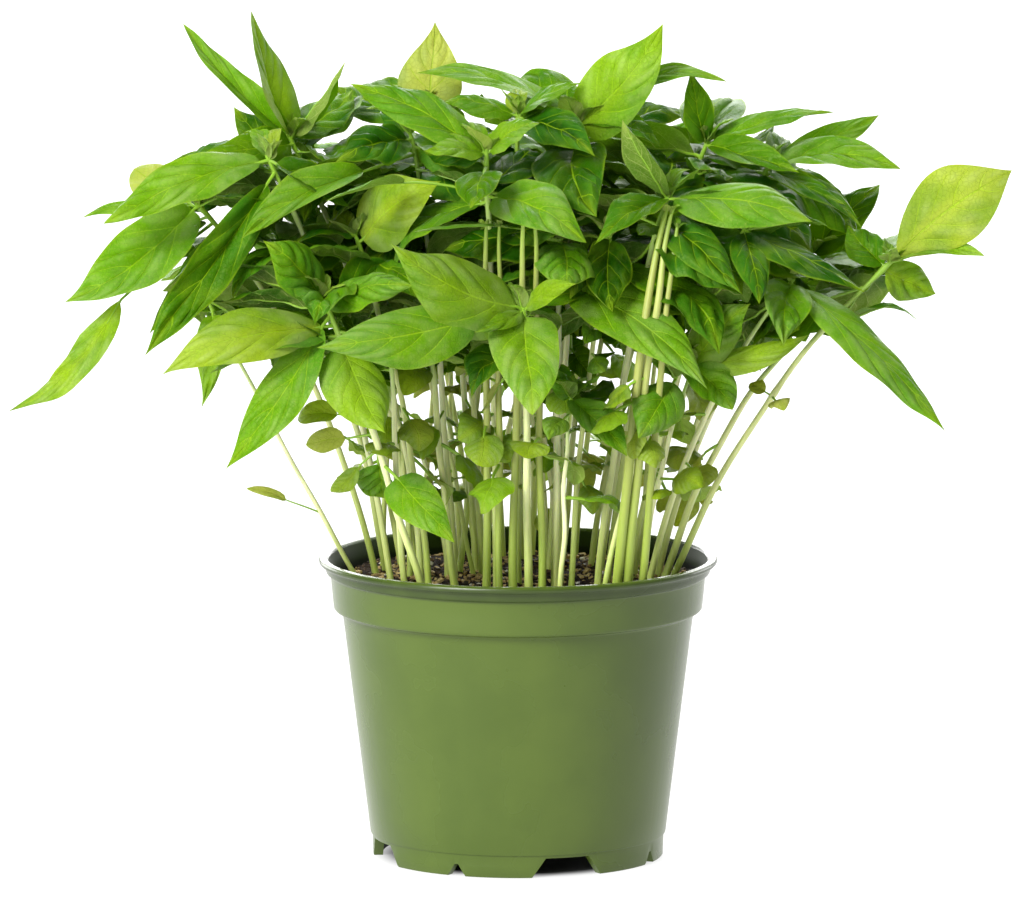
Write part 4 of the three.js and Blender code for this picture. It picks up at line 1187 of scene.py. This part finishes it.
def build_chips(materials, plants):
    """Loose bark and perlite on the soil, and crumbs that gather at the foot of every stem."""
    draws = Draws(CHIP_SEED)
    chips = Builder()
    for _ in range(CHIPS):
        r = SOIL_R * math.sqrt(draws.one()) * 0.985
        turn = draws.between(0, 2 * math.pi)
        cx, cy = r * math.cos(turn), r * math.sin(turn)
        cz = float(soil_level(cx, cy)) + draws.between(-0.4, 0.7)
        kind = DARK if draws.one() < 0.4 else (LIGHT if draws.one() < 0.88 else PERLITE)
        long = draws.between(0.4, 0.9) if kind == PERLITE else draws.between(0.5, 1.7)
        add_chip(chips, (cx, cy, cz), long, kind, draws)
    for plant in plants:
        for _ in range(CRUMBS_AT_STEM):
            turn = draws.between(0, 2 * math.pi)
            away = plant["radius"] + draws.between(0.2, 1.4)
            cx = plant["base"][0] + away * math.cos(turn)
            cy = plant["base"][1] + away * math.sin(turn)
            if math.hypot(cx, cy) < SOIL_R - 1.5:
                cz = float(soil_level(cx, cy)) + draws.between(0.2, 1.2)
                long = draws.between(0.7, 1.8)
                add_chip(chips, (cx, cy, cz), long, int(draws.one() < 0.5), draws)
    loose = chips.piece("soil_chips", materials, 30)
    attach(loose, "root")


def turned(a, b, angle):
    return a * math.cos(angle) - b * math.sin(angle), a * math.sin(angle) + b * math.cos(angle)


def add_chip(builder, centre, long, kind, draws):
    """A flake of bark or a grain of perlite: an uneven eight-cornered lump."""
    wide = long * draws.between(0.45, 0.8)
    thick = long * (draws.between(0.25, 0.45) if kind != PERLITE else 0.85)
    if kind == PERLITE:
        wide = long
    turn, pitch = draws.between(0, 6.28), draws.between(-0.5, 0.5)
    points = []
    for sx in (-1, 1):
        for sy in (-1, 1):
            for sz in (-1, 1):
                x = sx * long * draws.between(0.6, 1.0)
                y = sy * wide * draws.between(0.6, 1.0)
                z = sz * thick * draws.between(0.6, 1.0)
                x, z = turned(x, z, pitch)
                x, y = turned(x, y, turn)
                points.append((centre[0] + x, centre[1] + y, centre[2] + z))
    faces = [(0, 1, 3, 2), (4, 6, 7, 5), (0, 4, 5, 1), (2, 3, 7, 6), (0, 2, 6, 4), (1, 5, 7, 3)]
    builder.add(points, faces, kind, [(0, 0)] * 8, draws.one())


# ---- materials ----
class Nodes:
    """Shorthand for building a material's nodes."""

    def __init__(self, name):
        self.material = bpy.data.materials.new(name)
        self.material.use_nodes = True
        self.tree = self.material.node_tree
        self.tree.nodes.clear()
        self.out = self.tree.nodes.new("ShaderNodeOutputMaterial")

    def node(self, kind, inputs=None, **settings):
        made = self.tree.nodes.new(kind)
        for key, value in settings.items():
            setattr(made, key, value)
        for key, value in (inputs or {}).items():
            self.put(made.inputs[key], value)
        return made

    def put(self, socket, value):
        """Links a socket to another one's output, or sets its value; colours as on the web."""
        if isinstance(value, bpy.types.NodeSocket):
            self.tree.links.new(value, socket)
        else:
            socket.default_value = rgb(value) if isinstance(value, str) else value

    def math(self, operation, a, b=0.0):
        return self.node("ShaderNodeMath", {0: a, 1: b}, operation=operation).outputs[0]

    def times(self, a, b):
        return self.math("MULTIPLY", a, b)

    def span(self, value, low, high, to_low=0.0, to_high=1.0):
        """A value between low and high, led smoothly from to_low to to_high."""
        return self.node("ShaderNodeMapRange", {
            "Value": value, "From Min": low, "From Max": high, "To Min": to_low,
            "To Max": to_high}, interpolation_type="SMOOTHSTEP").outputs[0]

    def mix(self, share, a, b):
        return self.node("ShaderNodeMix", {0: share, 6: a, 7: b}, data_type="RGBA").outputs[2]

    def noise(self, scale, detail, rough, vector):
        return self.node("ShaderNodeTexNoise", {
            "Scale": scale, "Detail": detail, "Roughness": rough, "Vector": vector}).outputs[0]

    def place(self):
        return self.node("ShaderNodeTexCoord").outputs["Object"]

    def attribute(self, name):
        return self.node("ShaderNodeAttribute", attribute_name=name).outputs["Fac"]

    def uv(self):
        made = self.node("ShaderNodeUVMap", uv_map="Growth").outputs[0]
        parts = self.node("ShaderNodeSeparateXYZ", {0: made})
        return parts.outputs[0], parts.outputs[1]

    def bump(self, height, distance, strength=1.0):
        return self.node("ShaderNodeBump", {
            "Strength": strength, "Distance": distance, "Height": height}).outputs[0]

    def finish(self, shader):
        self.tree.links.new(shader, self.out.inputs["Surface"])
        return self.material


def rgb(text):
    """A colour written as on the web, as Blender's linear one."""
    values = [int(text[i:i + 2], 16) / 255 for i in (1, 3, 5)]
    linear = [v / 12.92 if v <= 0.04045 else ((v + 0.055) / 1.055) ** 2.4 for v in values]
    return (*linear, 1.0)


TOP_GREENS = ("#134a00", "#5f9904", "#9cb822", "#bcc45c")
UNDER_GREENS = ("#4f7226", "#86a240", "#afc25c", "#cfd87e")


def leaf_tissue(n, tone, along, out, mottle, greens):
    """The green between the veins: yellower at tip and margin, with cooler patches, mottled."""
    dark, plain, light, pale = greens
    colour = n.mix(n.span(tone, 0.0, 0.52), dark, plain)
    colour = n.mix(n.span(tone, 0.48, 0.8), colour, light)
    colour = n.mix(n.span(tone, 0.78, 1.0), colour, pale)
    tip = n.span(along, 0.72, 1.0, 0.0, 0.6)
    margin = n.span(out, 0.9, 1.0, 0.0, 0.45)
    colour = n.mix(n.math("MAXIMUM", tip, margin), colour, light)
    patches = n.span(n.noise(34.0, 2.0, 0.5, n.place()), 0.42, 0.62, 0.0, 0.5)
    colour = n.mix(n.times(patches, n.span(out, 0.05, 0.4)), colour, "#3f8420")
    colour = n.mix(n.span(mottle, 0.4, 0.75, 0.0, 0.24), colour, light)
    return n.mix(n.span(mottle, 0.25, 0.5, 0.3, 0.0), colour, dark)


def leaf_veins(n, along, out):
    """Midrib and side veins, the fine net between them, and how near a side vein is."""
    # side veins follow the rows of the blade, the midrib its middle
    phase = n.times(n.math("POWER", along, VEIN_POWER), float(VEINS))
    beat = n.math("FRACT", n.math("ADD", phase, 0.5))
    near = n.math("ABSOLUTE", n.math("SUBTRACT", beat, 0.5))
    vein = n.times(n.span(near, 0.01, 0.05, 1.0, 0.0), n.span(out, 0.5, 0.98, 1.0, 0.1))
    rib = n.span(out, 0.012, 0.04, 1.0, 0.0)
    net = n.node("ShaderNodeTexVoronoi", {"Scale": 520.0, "Vector": n.place()},
                 feature="DISTANCE_TO_EDGE")
    fine = n.span(net.outputs["Distance"], 0.0, 0.08, 1.0, 0.0)
    return n.math("MAXIMUM", n.times(vein, 0.75), rib), fine, near


def leaf_painted_sheen_and_down(n, tone, out, near, down, colour, pale):
    """The tissue between the veins bulges; a whitish sheen is painted on it in patches, under a
    fine down.
    """
    bulge = n.times(n.span(near, 0.1, 0.42), n.span(out, 0.08, 0.5))
    bulge = n.span(bulge, 0.0, 1.0, 0.4, 1.0)
    patch = n.span(n.noise(70.0, 3.0, 0.55, n.place()), 0.38, 0.62, 0.02, 0.3)
    # painted sheen: a whitish highlight mixed into the colour over the bulges, stronger on paler
    # leaves
    sheen = n.times(n.times(bulge, patch), n.span(tone, 0.28, 0.58))
    colour = n.mix(sheen, colour, "#bccc84")
    fuzz = n.times(n.span(down, 0.5, 0.72, 0.0, 0.24), n.span(tone, 0.0, 0.5, 0.15, 1.0))
    return n.mix(fuzz, colour, pale)


def leaf_material(name, under):
    """A leaf's upper or under side: its green by the leaf's tone, with veins, a painted sheen and
    soft down.
    """
    n = Nodes(name)
    tone = n.attribute("tone")
    across, along = n.uv()
    out = n.math("ABSOLUTE", n.math("SUBTRACT", n.times(across, 2.0), 1.0))
    mottle = n.noise(90.0, 4.0, 0.6, n.place())
    down = n.noise(1200.0, 3.0, 0.65, n.place())
    greens = UNDER_GREENS if under else TOP_GREENS
    dark, pale = greens[0], greens[-1]
    colour = leaf_tissue(n, tone, along, out, mottle, greens)
    lines, fine, near = leaf_veins(n, along, out)
    colour = n.mix(n.times(lines, 0.7 if under else 0.6), colour, pale if under else "#a8d01e")
    colour = n.mix(n.times(fine, 0.2), colour, pale if under else dark)
    colour = leaf_painted_sheen_and_down(n, tone, out, near, down, colour, pale)
    # the veins stand out underneath and are sunk above
    height = n.math("ADD", n.times(lines, 0.8 if under else -0.8),
                    n.times(fine, 0.35 if under else -0.35))
    height = n.math("ADD", height, n.times(down, 0.5))
    normal = n.bump(height, 0.00025, 0.8)
    rough = n.span(mottle, 0.3, 0.7, *((0.6, 0.7) if under else (0.3, 0.44)))
    skin = n.node("ShaderNodeBsdfPrincipled", {
        "Base Color": colour, "Roughness": rough, "Normal": normal,
        "Specular IOR Level": 0.2, "Specular Tint": (0.84, 1.0, 0.42, 1.0),
    })
    lit = n.mix(n.span(tone, 0.66, 0.92), "#c0e810", "#c4b83c")
    through = n.node("ShaderNodeBsdfTranslucent", {
        "Color": n.mix(0.5, colour, lit), "Normal": normal})
    mixed = n.node("ShaderNodeMixShader", {"Fac": 0.42})
    n.tree.links.new(skin.outputs[0], mixed.inputs[1])
    n.tree.links.new(through.outputs[0], mixed.inputs[2])
    return n.finish(mixed.outputs[0])


def stem_material():
    """Pale stems, green at the top; a tone below 0 paints shade on a stem, darker and olive, which
    the thin stems inside the crown get.
    """
    n = Nodes("basil_stem")
    tone = n.attribute("tone")
    along, around = n.uv()
    low = n.mix(tone, "#9fb44a", "#c6d078")
    middle = n.mix(tone, "#d6de8c", "#f1f1c8")
    # painted shade: a tone below 0 darkens the stem above its foot towards olive
    middle = n.mix(n.span(tone, -1.0, 0.0, 1.0, 0.0), middle, "#9ea452")
    colour = n.mix(n.span(along, 0.05, 0.3), low, middle)
    colour = n.mix(n.span(along, 0.4, 0.62), colour, "#86b02c")
    stretch = n.node("ShaderNodeCombineXYZ", {
        0: n.times(along, 4.0), 1: n.times(around, 2.0), 2: n.times(tone, 40.0)})
    streak = n.noise(5.0, 3.0, 0.5, stretch.outputs[0])
    colour = n.mix(n.span(streak, 0.4, 0.75, 0.0, 0.35), colour, "#7f9a3a")
    normal = n.bump(n.noise(700.0, 2.0, 0.5, n.place()), 0.0002, 0.5)
    skin = n.node("ShaderNodeBsdfPrincipled", {
        "Base Color": colour, "Roughness": 0.48, "Normal": normal,
        "Subsurface Weight": 0.4, "Subsurface Radius": (0.003, 0.004, 0.0012),
    })
    return n.finish(skin.outputs[0])


def plastic_material(name, dark, light, gloss, dull):
    """Moulded plastic; painted shade makes the lip deeper in colour than the wall."""
    n = Nodes(name)
    place = n.place()
    haze = n.noise(18.0, 4.0, 0.55, place)
    colour = n.mix(n.span(haze, 0.35, 0.7), dark, light)
    height = n.node("ShaderNodeSeparateXYZ", {0: place}).outputs[2]
    lip = n.times(n.span(height, LIP_BASE_Z * MM, (LIP_BASE_Z + 1.2) * MM),
                 n.span(height, (POT_HEIGHT - 1.2) * MM, POT_HEIGHT * MM, 1.0, 0.0))
    # painted shade: the lip, which faces down and out, is darkened towards olive-black
    colour = n.mix(n.times(lip, 0.75), colour, "#26350b")
    # moulding draws faint upright streaks
    squeeze = n.node("ShaderNodeMapping", {"Scale": (1.0, 1.0, 0.04), "Vector": place})
    streak = n.noise(60.0, 2.0, 0.5, squeeze.outputs[0])
    colour = n.mix(n.span(streak, 0.4, 0.8, 0.0, 0.3), colour, light)
    grain = n.noise(1400.0, 2.0, 0.6, place)
    normal = n.bump(grain, 0.00006, 0.35)
    rough = n.span(haze, 0.3, 0.7, 0.24 + dull, 0.3 + dull)
    skin = n.node("ShaderNodeBsdfPrincipled", {
        "Base Color": colour, "Roughness": rough, "Normal": normal, "Specular IOR Level": gloss,
    })
    return n.finish(skin.outputs[0])


def soil_material():
    n = Nodes("potting_soil")
    place = n.place()
    lumps = n.noise(240.0, 6.0, 0.7, place)
    colour = n.mix(n.span(lumps, 0.35, 0.7), "#120b05", "#352210")
    fleck = n.noise(900.0, 2.0, 0.6, place)
    colour = n.mix(n.span(fleck, 0.62, 0.72, 0.0, 0.7), colour, "#8b6b45")
    normal = n.bump(n.math("ADD", lumps, fleck), 0.0012, 1.0)
    skin = n.node("ShaderNodeBsdfPrincipled", {
        "Base Color": colour, "Roughness": 0.95, "Normal": normal, "Specular IOR Level": 0.2})
    return n.finish(skin.outputs[0])


def chip_material(name, dark, light):
    n = Nodes(name)
    place = n.place()
    grain = n.noise(700.0, 4.0, 0.7, place)
    tone = n.attribute("tone")
    colour = n.mix(tone, dark, light)
    colour = n.mix(n.span(grain, 0.4, 0.7, 0.0, 0.5), colour, dark)
    skin = n.node("ShaderNodeBsdfPrincipled", {
        "Base Color": colour, "Roughness": 0.9, "Normal": n.bump(grain, 0.0004)})
    return n.finish(skin.outputs[0])


# ---- camera, light and floor ----
CAMERA_FROM = (-0.0023, -6.0, 1.0783)
CAMERA_AIM = (-0.0023, 0, 0.1558)
LENS = 560
LIGHT_AIM = (0, 0, 0.2)
# name, place, side length and power of each square lamp
LIGHTS = (
    ("key", (-1.5, -2.0, 1.9), 1.2, 124),
    ("side", (-1.75, -2.05, 0.25), 1.3, 28),
    ("front", (-1.4, -2.4, 0.3), 1.6, 20),
    ("back", (0.4, 1.7, 2.2), 2.4, 72),
    ("backdrop", (0.0, 2.7, 1.35), 2.2, 95),
    ("left_rim", (-1.9, 2.4, 0.5), 1.4, 34),
    ("right_rim", (2.1, 2.1, 0.5), 1.4, 25),
)
WORLD_LIGHT = 0.345
FLOOR_HALF = 30.0


def look_at(thing, place, aim):
    thing.location = place
    thing.rotation_euler = (Vector(aim) - thing.location).to_track_quat("-Z", "Y").to_euler()


def build_camera():
    camera = in_scene("camera", bpy.data.cameras.new("camera"))
    camera.data.sensor_width = 36
    camera.data.lens = LENS
    camera.data.clip_end = 100
    look_at(camera, CAMERA_FROM, CAMERA_AIM)
    bpy.context.scene.camera = camera


def build_lights():
    for name, place, size, power in LIGHTS:
        light = in_scene(name, bpy.data.lights.new(name, "AREA"))
        light.data.shape = "SQUARE"
        light.data.size = size
        light.data.energy = power
        look_at(light, place, LIGHT_AIM)
    world = bpy.data.worlds.new("studio")
    bpy.context.scene.world = world
    world.use_nodes = True
    background = world.node_tree.nodes["Background"]
    background.inputs[0].default_value = (1, 1, 1, 1)
    background.inputs[1].default_value = WORLD_LIGHT
    bpy.context.scene.view_settings.view_transform = "Standard"


def build_floor():
    """A pale floor, lit up all round the pot and left to its own shadow beneath it."""
    mesh = bpy.data.meshes.new("floor")
    side = FLOOR_HALF
    mesh.from_pydata([(-side, -side, 0), (side, -side, 0), (side, side, 0), (-side, side, 0)], [],
                     [(0, 1, 2, 3)])
    floor = in_scene("floor", mesh)
    n = Nodes("floor")
    reach = n.node("ShaderNodeVectorMath", {0: n.place()}, operation="LENGTH")
    glow = n.span(reach.outputs["Value"], 0.044, (FOOT_R + 1) * MM, 0.0, 0.78)
    skin = n.node("ShaderNodeBsdfPrincipled", {
        "Base Color": (0.22, 0.22, 0.22, 1), "Roughness": 0.8, "Specular IOR Level": 0.1,
        "Emission Color": (1, 1, 1, 1), "Emission Strength": glow})
    mesh.materials.append(n.finish(skin.outputs[0]))


def main():
    build_camera()
    build_lights()
    build_floor()
    # the second plastic is the same olive painted near-black: painted shade for the pot's inside
    build_pot([plastic_material("olive_plastic", "#455819", "#4e611e", 0.44, 0.0),
               plastic_material("olive_plastic_inside", "#0d1507", "#16200c", 0.08, 0.3)])
    materials = [stem_material(), leaf_material("basil_leaf", False),
                 leaf_material("basil_leaf_under", True)]
    plants = standing_plants()
    shown = front_view(plants)
    sisters = sister_seedlings(plants, shown, Draws(SISTER_SEED))
    fill_canopy(plants, sisters, shown)
    sisters += thin_stems()
    build_soil(soil_material())
    build_chips([
        chip_material("bark_dark", "#22180d", "#584225"),
        chip_material("bark_light", "#8f7340", "#cdb67c"),
        chip_material("perlite", "#cfc8b8", "#efece2"),
    ], plants + sisters)
    for number, plant in enumerate(plants):
        draws = Draws(SEED + SEED_STEP * number)
        build_plant("basil_%02d" % (number + 1), plant, materials, draws, STOUT)
    for number, plant in enumerate(sisters):
        draws = Draws(SISTER_LOOK_SEED + SEED_STEP * number)
        build_plant("seedling_%02d" % (number + 1), plant, materials, draws, SISTER_STOUT)


main()
